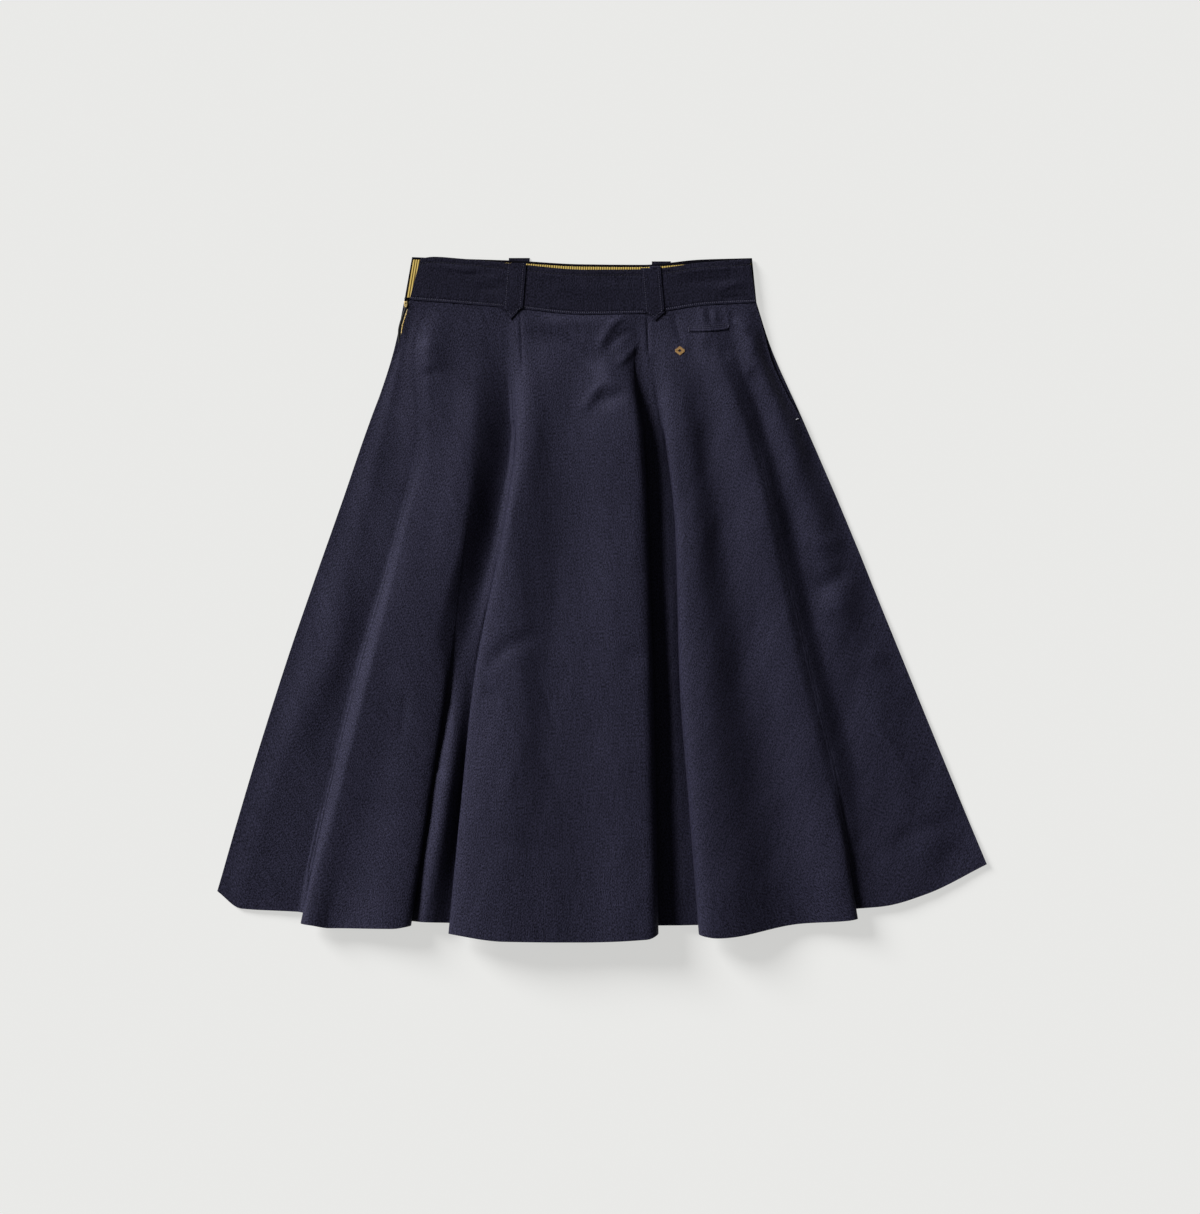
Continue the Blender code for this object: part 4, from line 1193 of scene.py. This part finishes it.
def surface_of(*pieces):
    """A function that gives the height in mm of the highest piece under (x, y)."""
    graph = bpy.context.evaluated_depsgraph_get()
    trees = [BVHTree.FromObject(piece, graph) for piece in pieces]

    def height(x, y):
        hits = [tree.ray_cast(Vector((x, y, DROP_FROM)) * MM, Vector((0, 0, -1)))[0] for tree in trees]
        return max([hit.z / MM for hit in hits if hit] + [0.0])

    return height


cloth_top = surface_of(front, front_band)
print("the cloth's top at its middle is at", round(cloth_top(0.0, 0.0), 1), "mm")

# %% [markdown]
# ## Belt loops
#
# A belt loop is a folded strap with a pointed end, sewn flat at the top and through the point. Its sides
# are folds, so they are round, and the strap crowns a little between its two rows of stitches. It is a
# grid of points that narrows to the tip in its last rows.

# %% Four belt loops
Loop = namedtuple("Loop", "top_x top_y shoulder_x shoulder_y tip_x tip_y width")
FRONT_LOOPS = {
    "belt_loop_front_left": Loop(-86.0, 336.0, -89.4, 291.0, -91.5, 279.8, 20.0),
    "belt_loop_front_right": Loop(48.5, 334.0, 52.4, 287.5, 53.2, 278.5, 20.0),
}
BACK_LOOPS = {
    "belt_loop_back_left": Loop(-83.0, 341.8, -84.5, 297.0, -85.5, 286.0, 21.0),
    "belt_loop_back_right": Loop(59.5, 338.4, 60.5, 294.0, 61.5, 283.0, 19.0),
}
LOOP_ACROSS = 10
LOOP_ALONG = 26
LOOP_POINT = (1.15, 2.0, 6)
LOOP_CROWN = 0.15
LOOP_SPAN = (-2, 0, 2)
LOOP_WALL = 0.8
LOOP_LIFT = 0.1
LOOP_STITCH_IN = 2.6


def on_loop(loop, along, across):
    """A place on a loop: along runs 0 to 1 to the shoulders and on to 2 at the tip, across is -1 to 1."""
    half = loop.width / 2
    if along <= 1.0:
        x, y = mix(loop.top_x, loop.shoulder_x, along), mix(loop.top_y, loop.shoulder_y, along)
        return x + across * half, y
    left = 2.0 - along
    tip_y = mix(loop.shoulder_y, loop.tip_y, 1.0 - abs(across))
    return mix(loop.tip_x, loop.shoulder_x, left) + across * half, mix(tip_y, loop.shoulder_y, left)


def make_loop(name, loop, height_at):
    body = np.linspace(0.0, 1.0, LOOP_ALONG)
    point = np.linspace(*LOOP_POINT)
    rows = []
    for along in [*body, *point]:
        row = []
        for across in np.linspace(-1.0, 1.0, LOOP_ACROSS + 1):
            x, y = on_loop(loop, along, across)
            row.append((x, y, height_at(x, y, across)))
        rows.append(row)
    rows = np.array(rows)
    return cloth_piece(name + "_strap", rows, LOOP_WALL, shaded_cross_sateen, rows[:, :, :2])


def on_band(x, y, across):
    """A strap is stiff, so it lies on the highest cloth around each place."""
    around = [cloth_top(x + dx, y + dy) for dx in LOOP_SPAN for dy in LOOP_SPAN]
    return max(around) + LOOP_LIFT + LOOP_WALL / 2 + LOOP_CROWN * (1 - across**2)


def under_back(x, y, across):
    return LOOP_CLOTH / 2


loops = {name: make_loop(name, loop, on_band) for name, loop in FRONT_LOOPS.items()}
loops |= {name: make_loop(name, loop, under_back) for name, loop in BACK_LOOPS.items()}

# %% [markdown]
# ## Coin pocket welt
#
# The coin pocket is a slit with a narrow folded lip. The lip is a strip whose middle stands up, so that it
# throws a thin shadow below itself.

# %% Coin pocket
COIN_WELT_START = Vector((88.0, 268.4))
COIN_WELT_END = Vector((126.0, 270.6))
COIN_WELT_WIDTH = 2.4
WELT_WALL = 0.6
WELT_BOW = 0.9
WELT_LIFT = 0.35
WELT_CROWN = 0.35


def make_welt():
    run = COIN_WELT_END - COIN_WELT_START
    across = Vector((-run.y, run.x)).normalized() * COIN_WELT_WIDTH / 2
    rows = []
    for side in np.linspace(1.0, -1.0, 7):
        row = []
        for share in np.linspace(0.0, 1.0, 25):
            bow = -WELT_BOW * math.sin(math.pi * share)
            x, y = COIN_WELT_START + run * share + across * side
            row.append((x, y + bow, cloth_top(x, y + bow) + WELT_LIFT + WELT_CROWN * (1 - side**2)))
        rows.append(row)
    rows = np.array(rows)
    return cloth_piece("coin_pocket_lip", rows, WELT_WALL, navy_sateen, rows[:, :, :2])


welt = make_welt()

# %% [markdown]
# ## Slider and hook bar
#
# The zip's slider is a small plated casting: wide at its shoulders, narrow at its tail, with a thin near
# black disc of painted shade where the hole for the pull is. The bar above it takes the waistband's hook,
# and is painted near black as its shadow. Each is an extruded outline with its edges rounded, which is how
# such castings look at this size.

# %% Metal pieces


GLOSS_VARIES = 0.08


def metal(name, code, roughness, grit_mm):
    """Plated metal with a fine tumbled grain in its gloss."""
    material, tree, shader = new_material(name, Metallic=1.0)
    shader.inputs["Base Color"].default_value = colour(code)
    place = add(tree, "ShaderNodeTexCoord")
    grit = add(tree, "ShaderNodeTexNoise", {"Vector": place.outputs["Object"], "Scale": 1 / (grit_mm * MM)})
    duller, glossier = roughness + GLOSS_VARIES, roughness - GLOSS_VARIES
    gloss = add(tree, "ShaderNodeMapRange", {0: grit.outputs[0], 3: glossier, 4: duller})
    tree.links.new(gloss.outputs[0], shader.inputs["Roughness"])
    return material


plated_brass = metal("satin plated brass", "#f3d996", 0.55, 0.4)
# Painted shade: near black nickel stands for the shade in the slider's hole and the hook bar's shadow.
shade_black_nickel = metal("nickel painted near black as shade", "#2c2a2b", 0.36, 0.3)


def casting(name, outline, low, high, round_by, finish):
    """An outline (x, y) in mm, given a thickness from low to high and rounded edges."""
    mesh = bpy.data.meshes.new(name)
    count = len(outline)
    points = [Vector((x, y, z)) * MM for z in (low, high) for x, y in outline]
    sides = [(i, (i + 1) % count, (i + 1) % count + count, i + count) for i in range(count)]
    mesh.from_pydata(points, [], [tuple(reversed(range(count))), tuple(range(count, 2 * count)), *sides])
    mesh.materials.append(finish)
    piece = bpy.data.objects.new(name, mesh)
    bpy.context.collection.objects.link(piece)
    rounded = piece.modifiers.new("Rounded edges", "BEVEL")
    rounded.width = round_by * MM
    rounded.segments = 3
    rounded.harden_normals = True
    mesh.polygons.foreach_set("use_smooth", [True] * len(mesh.polygons))
    print(name, "is", round(high - low, 2), "mm thick")
    return piece


SLIDER_AT = Vector((-196.6, 294.9))
SLIDER_SHAPE = ((-1.7, -0.6), (-0.8, -3.3), (0.8, -3.3), (1.7, -0.6), (1.5, 2.9), (-1.5, 2.9))
SLIDER_Z = (4.9, 6.7)
HOLE_UP = 0.9
HOLE_HALF = (0.55, 0.8)
HOLE_Z = (6.6, 6.85)
BAR_AT = Vector((-195.9, 300.6))
BAR_SHAPE = ((-2.1, -0.9), (2.1, -0.9), (2.1, 0.9), (-2.1, 0.9))
BAR_Z = (4.9, 5.9)
slider_outline = [SLIDER_AT + Vector(corner) for corner in SLIDER_SHAPE]
slider = casting("zip_slider_body", slider_outline, *SLIDER_Z, 0.4, plated_brass)
# The hole is a thin near black disc on the slider, painted shade.
hole = [
    SLIDER_AT + Vector((HOLE_HALF[0] * math.cos(turn), HOLE_UP + HOLE_HALF[1] * math.sin(turn)))
    for turn in np.linspace(0.0, math.tau, 12, endpoint=False)
]
slider_hole_shade = casting("zip_slider_hole_shade", hole, *HOLE_Z, 0.08, shade_black_nickel)
bar_outline = [BAR_AT + Vector(corner) for corner in BAR_SHAPE]
hook_bar = casting("hook_bar_piece", bar_outline, *BAR_Z, 0.3, shade_black_nickel)

# %% [markdown]
# ## Sewing thread
#
# Every seam's stitches are the same thing repeated along a line, so one geometry tree makes them all. A
# stitch line is a row of points on the cloth. The tree turns it into a curve, sets a small pointed bead at
# every step, long along the thread and thin across it, and then makes the beads real. A stitch is about
# 2.5 mm long. Its thread is drawn at half a millimetre, thicker than life, so that it shows.

# %% The stitch tree
Stitch = namedtuple("Stitch", "step length width height")


def stitch_tree():
    tree = bpy.data.node_groups.new("stitches along a line", "GeometryNodeTree")
    tree.interface.new_socket("Line", in_out="INPUT", socket_type="NodeSocketGeometry")
    for name in ("Step", "Length", "Width", "Height"):
        tree.interface.new_socket(name, in_out="INPUT", socket_type="NodeSocketFloat")
    tree.interface.new_socket("Thread", in_out="INPUT", socket_type="NodeSocketMaterial")
    tree.interface.new_socket("Stitches", in_out="OUTPUT", socket_type="NodeSocketGeometry")
    given = add(tree, "NodeGroupInput").outputs
    line = add(tree, "GeometryNodeMeshToCurve", {"Mesh": given["Line"]})
    spots = add(
        tree, "GeometryNodeCurveToPoints",
        {"Curve": line.outputs[0], "Length": given["Step"]}, mode="LENGTH",
    )
    bead = add(tree, "GeometryNodeMeshUVSphere", {"Segments": 6, "Rings": 4, "Radius": 0.5})
    size = add(
        tree, "ShaderNodeCombineXYZ", {"X": given["Length"], "Y": given["Width"], "Z": given["Height"]}
    )
    along = add(tree, "FunctionNodeAlignRotationToVector", {"Vector": spots.outputs["Tangent"]}, axis="X")
    upright = add(
        tree, "FunctionNodeAlignRotationToVector",
        {"Rotation": along.outputs[0], "Vector": (0.0, 0.0, 1.0)}, axis="Z", pivot_axis="X",
    )
    put = add(
        tree, "GeometryNodeInstanceOnPoints",
        {
            "Points": spots.outputs["Points"], "Instance": bead.outputs["Mesh"],
            "Rotation": upright.outputs[0], "Scale": size.outputs[0],
        },
    )
    real = add(tree, "GeometryNodeRealizeInstances", {0: put.outputs[0]})
    finished = add(
        tree, "GeometryNodeSetMaterial", {"Geometry": real.outputs[0], "Material": given["Thread"]}
    )
    result = add(tree, "NodeGroupOutput")
    tree.links.new(finished.outputs[0], result.inputs[0])
    return tree


STITCHES = stitch_tree()


def sew(name, lines, stitch, thread):
    """Stitches along lines of (x, y, z) points in mm, made a plain mesh."""
    points, edges = [], []
    for line in lines:
        first = len(points)
        points += [Vector(point) * MM for point in line]
        edges += [(first + i, first + i + 1) for i in range(len(line) - 1)]
    mesh = bpy.data.meshes.new(name + " line")
    mesh.from_pydata(points, edges, [])
    guide = bpy.data.objects.new(name + " line", mesh)
    bpy.context.collection.objects.link(guide)
    sewing = guide.modifiers.new("Stitches", "NODES")
    sewing.node_group = STITCHES
    values = {name.capitalize(): size * MM for name, size in stitch._asdict().items()}
    values["Thread"] = thread
    for item in STITCHES.interface.items_tree:
        if item.name in values:
            sewing[item.identifier] = values[item.name]
    graph = bpy.context.evaluated_depsgraph_get()
    sewn = bpy.data.meshes.new_from_object(guide.evaluated_get(graph))
    bpy.data.objects.remove(guide)
    sewn.polygons.foreach_set("use_smooth", [True] * len(sewn.polygons))
    piece = bpy.data.objects.new(name, sewn)
    bpy.context.collection.objects.link(piece)
    print(name, "has", len(sewn.polygons), "faces")
    return piece

# %% [markdown]
# ## Colours of thread
#
# Sewing cotton is spun from two plies, so its shine comes and goes along it, and a noise between two tones
# is enough for that. The band's top row is navy. The seam, loops and coin pocket are sewn in a paler blue
# grey, and the lozenge in gold rayon.

# %% Sewing threads
PLY_MM = 1.1
PLY_SHADE = 0.6


def spun_thread(name, code, roughness):
    """Mercerised sewing cotton: two plies, so its shine comes and goes along it."""
    material, tree, shader = new_material(name, Roughness=roughness, IOR=1.5)
    place = add(tree, "ShaderNodeTexCoord")
    ply = add(tree, "ShaderNodeTexNoise", {"Vector": place.outputs["Object"], "Scale": 1 / (PLY_MM * MM)})
    tone = add(tree, "ShaderNodeMix", {0: ply.outputs[0]}, data_type="RGBA")
    shade = [channel * PLY_SHADE for channel in colour(code)[:3]]
    tone.inputs[6].default_value = (*shade, 1.0)
    tone.inputs[7].default_value = colour(code)
    tree.links.new(tone.outputs[2], shader.inputs["Base Color"])
    return material


navy_thread = spun_thread("navy sewing cotton", "#1b1a28", 0.6)
pale_thread = spun_thread("blue grey sewing cotton", "#4c4b63", 0.55)
gold_thread = spun_thread("gold rayon thread", "#c79a5a", 0.4)

# %% [markdown]
# ## Stitch lines
#
# The band has a row near its top fold and a row just above its seam. Each loop is sewn down both sides and
# round its point. A lift of a third of the thread keeps a stitch half sunk in its cloth.

# %% Topstitching
TOPSTITCH = Stitch(2.9, 2.4, 0.6, 0.4)
SEAM_STITCH = Stitch(2.0, 0.9, 1.6, 0.4)
EDGE_STITCH = Stitch(2.2, 1.7, 0.5, 0.4)
THREAD_LIFT = 0.12


def lay(points, surface, lift=THREAD_LIFT):
    """A stitch line dropped onto a surface."""
    return [(x, y, surface(x, y) + lift) for x, y in points]


def band_line(off_top=None, off_seam=None):
    """A row along the front band, that far below its top or above its seam."""
    line = []
    for share in np.linspace(0.004, 0.996, 240):
        low = mix(FRONT_SEAM[0].x, FRONT_SEAM[-1].x, share)
        high = mix(FRONT_TOP[0].x, FRONT_TOP[-1].x, share)
        seam, top = front_seam_y(low), front_top_y(high)
        up = (top - off_top - seam) / (top - seam) if off_top else off_seam / (top - seam)
        line.append((mix(low, high, up), mix(seam, top, up)))
    return line


def loop_line(loop):
    """Down one side of a loop, round its point and up the other side."""
    inner = 1.0 - 2 * LOOP_STITCH_IN / loop.width
    down = [on_loop(loop, t, -inner) for t in np.linspace(0.02, 1.0, 30)]
    tip = Vector((loop.tip_x, loop.tip_y + 1.5 * LOOP_STITCH_IN))
    up = [on_loop(loop, t, inner) for t in np.linspace(1.0, 0.02, 30)]
    near = [tuple(mix(Vector(down[-1]), tip, t)) for t in np.linspace(0.1, 1.0, 8)]
    far = [tuple(mix(tip, Vector(up[0]), t)) for t in np.linspace(0.1, 0.9, 8)]
    return down + near + far + up


band_sewing = sew(
    "band_top_stitching", [lay(band_line(off_top=STITCH_IN), cloth_top)],
    TOPSTITCH, navy_thread,
)
seam_sewing = sew(
    "band_seam_stitching", [lay(band_line(off_seam=SEAM_STITCH_IN), cloth_top)],
    SEAM_STITCH, pale_thread,
)
loop_top = surface_of(*[loops[name] for name in FRONT_LOOPS])
loop_sewing = sew(
    "belt_loop_stitching", [lay(loop_line(loop), loop_top) for loop in FRONT_LOOPS.values()],
    EDGE_STITCH, pale_thread,
)

# %% [markdown]
# ## Coin pocket's stitches, bartacks and teeth
#
# The coin pocket has a double row above its slit and a bartack, a short dense bar of stitches, at each end.
# A white bartack ends the side pocket. The zip's teeth are a row of the same beads in brass, just inside
# the tape's strip of painted shade.

# %% Bartacks and teeth
WELT_STITCH = Stitch(1.8, 1.4, 0.5, 0.4)
BARTACK = Stitch(0.5, 0.6, 1.4, 0.6)
TOOTH = Stitch(1.3, 0.9, 1.3, 0.8)
TACK_LIFT = 0.2
FACING_TACK_LIFT = 0.3
TEETH_IN = 0.6
TEETH_LIFT = 0.2
TEETH_FROM = 2


def above_welt(off):
    run = COIN_WELT_END - COIN_WELT_START
    return [
        tuple(COIN_WELT_START + run * t + Vector((0.0, off - WELT_BOW * math.sin(math.pi * t))))
        for t in np.linspace(0.0, 1.0, 40)
    ]


welt_sewing = sew(
    "coin_pocket_stitching", [lay(above_welt(off), cloth_top) for off in (2.6, 4.4)],
    WELT_STITCH, pale_thread,
)


def bartack(x, y, dx, dy):
    return [(mix(x - dx, x + dx, t), mix(y - dy, y + dy, t)) for t in np.linspace(0.0, 1.0, 9)]


tack_at = [bartack(87.2, 269.4, 0.0, 2.2), bartack(126.6, 272.4, 0.6, 1.6)]
tack_lines = [lay(line, cloth_top, TACK_LIFT) for line in tack_at]
bartacks = sew("coin_pocket_bartacks", tack_lines, BARTACK, pale_thread)
facing_top = surface_of(pocket_facing, front)
facing_tack = sew(
    "pocket_bartack", [lay(bartack(195.8, 179.8, 1.2, 0.5), facing_top, FACING_TACK_LIFT)],
    BARTACK, spun_thread("white sewing cotton", "#c9c9cf", 0.5),
)
teeth_line = [
    (x + SHADE_EDGE_WIDTH + TEETH_IN, y, z + TRIM / 2 + TEETH_LIFT)
    for (x, y), z in zip(zip_line, zip_heights)
]
teeth = sew("zip_teeth", [teeth_line[TEETH_FROM:]], TOOTH, plated_brass)

# %% [markdown]
# ## A small gold motif
#
# A plain lozenge is worked in gold thread below the coin pocket. It is satin stitch: threads laid side by
# side, each as long as the lozenge is wide there. Each thread is a line of its own for the stitch tree,
# which sets beads along it close enough to make one cord.

# %% Satin stitch lozenge
MOTIF_AT = Vector((78.0, 248.0))
MOTIF_HALF = (5.6, 4.4)
MOTIF_THREAD = 0.8
MOTIF_HOLLOW = 0.42
MOTIF_LEAST = 0.5
MOTIF_LIFT = 0.25
MOTIF_STITCH = Stitch(0.3, 0.9, MOTIF_THREAD, 0.7)


def satin_lozenge():
    """Threads up the lozenge, side by side, each in two parts where it meets the hollow in the middle."""
    lines = []
    wide, tall = MOTIF_HALF
    for off in np.arange(-wide + MOTIF_THREAD / 2, wide, MOTIF_THREAD):
        reach_y = tall * (1 - abs(off) / wide)
        hollow = MOTIF_HOLLOW * tall * max(0.0, 1 - abs(off) / (MOTIF_HOLLOW * wide))
        for low, high in ((-reach_y, -hollow), (hollow, reach_y)):
            if high - low < MOTIF_LEAST:
                continue
            x, bottom, top = MOTIF_AT.x + off, MOTIF_AT.y + low, MOTIF_AT.y + high
            points = [(x, mix(bottom, top, t)) for t in np.linspace(0.0, 1.0, 7)]
            lines.append(lay(points, cloth_top, MOTIF_LIFT))
    return lines


motif = sew("gold_lozenge", satin_lozenge(), MOTIF_STITCH, gold_thread)

# %% [markdown]
# ## Stage, light and camera
#
# The skirt lies on a pale floor, seen from straight above through a long lens. One broad light comes from
# the upper left, low enough to rake the folds, and the pale surroundings fill the shadows a little.

# %% Floor, light and camera
LOOK_AT = (-2.0, -8.5, 12.0)
PICTURE_HEIGHT = 1214.0
LENS_DISTANCE = 3000.0
SENSOR = 36.0
FLOOR_HALF = 6.0
FLOOR_DOWN = 0.0002
LIGHT_FROM = Vector((-0.80, 0.68, 0.44))
LIGHT_STRENGTH = 5.05
LIGHT_BREADTH = math.radians(22.0)
FILL = 0.08


def make_floor():
    mesh = bpy.data.meshes.new("floor")
    sides = [(-1, -1), (1, -1), (1, 1), (-1, 1)]
    corners = [(x * FLOOR_HALF, y * FLOOR_HALF, -FLOOR_DOWN) for x, y in sides]
    mesh.from_pydata(corners, [], [(0, 1, 2, 3)])
    material, tree, shader = new_material("pale matt paint", Roughness=0.95)
    shader.inputs["Base Color"].default_value = colour("#9b9b9a")
    shader.inputs["Specular IOR Level"].default_value = 0.0
    shader.inputs["Emission Color"].default_value = colour("#eaeae8")
    shader.inputs["Emission Strength"].default_value = 0.72
    mesh.materials.append(material)
    floor = bpy.data.objects.new("floor", mesh)
    bpy.context.collection.objects.link(floor)


def make_lights():
    sun = bpy.data.lights.new("key", "SUN")
    sun.energy = LIGHT_STRENGTH
    sun.angle = LIGHT_BREADTH
    key = bpy.data.objects.new("key", sun)
    key.rotation_euler = LIGHT_FROM.to_track_quat("Z", "Y").to_euler()
    bpy.context.collection.objects.link(key)
    world = bpy.data.worlds.new("studio")
    world.use_nodes = True
    tree = world.node_tree
    backdrop = tree.nodes["Background"]
    backdrop.inputs["Color"].default_value = colour("#ebebe9")
    path = add(tree, "ShaderNodeLightPath")
    fill = add(tree, "ShaderNodeMapRange", {0: path.outputs["Is Camera Ray"], 3: FILL, 4: 1.0})
    tree.links.new(fill.outputs[0], backdrop.inputs["Strength"])
    bpy.context.scene.world = world
    bpy.context.scene.view_settings.view_transform = "Standard"


def make_camera():
    lens = bpy.data.cameras.new("camera")
    lens.sensor_width = SENSOR
    lens.lens = SENSOR * LENS_DISTANCE / PICTURE_HEIGHT
    lens.clip_end = 100.0
    camera = bpy.data.objects.new("camera", lens)
    camera.location = (Vector(LOOK_AT) + Vector((0.0, 0.0, LENS_DISTANCE))) * MM
    bpy.context.collection.objects.link(camera)
    bpy.context.scene.camera = camera


make_floor()
make_lights()
make_camera()
print("stage, one broad light and a camera straight above")

# %% [markdown]
# ## Declaring the pieces
#
# Each fine piece stands for its construction node and rides on the skirt's one body.

# %% Hand over
TRIMS = (
    (lining, "band_lining_back", "gold_lining"),
    (zip_tape, "zip_tape", "gold_lining"),
    (pocket_facing, "pocket_facing", "navy_sateen"),
    (welt, "coin_pocket_welt", "navy_sateen"),
)
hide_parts("skirt_front")
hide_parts("skirt_back")
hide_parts("waistband_front")
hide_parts("waistband_back")
for piece in (front, back, front_band, back_band):
    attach(piece, "root")
for piece, node, slot in TRIMS:
    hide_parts(node)
    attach(piece, "root")
for name, piece in loops.items():
    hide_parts(name)
    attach(piece, "root")
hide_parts("zip_slider")
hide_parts("hook_bar")
METAL = ((slider, "brass"), (slider_hole_shade, "nickel"), (hook_bar, "nickel"), (teeth, "brass"))
THREADS = (band_sewing, seam_sewing, loop_sewing, welt_sewing, bartacks, facing_tack)
for piece, slot in METAL:
    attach(piece, "root")
for piece in THREADS:
    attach(piece, "root")
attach(motif, "root")
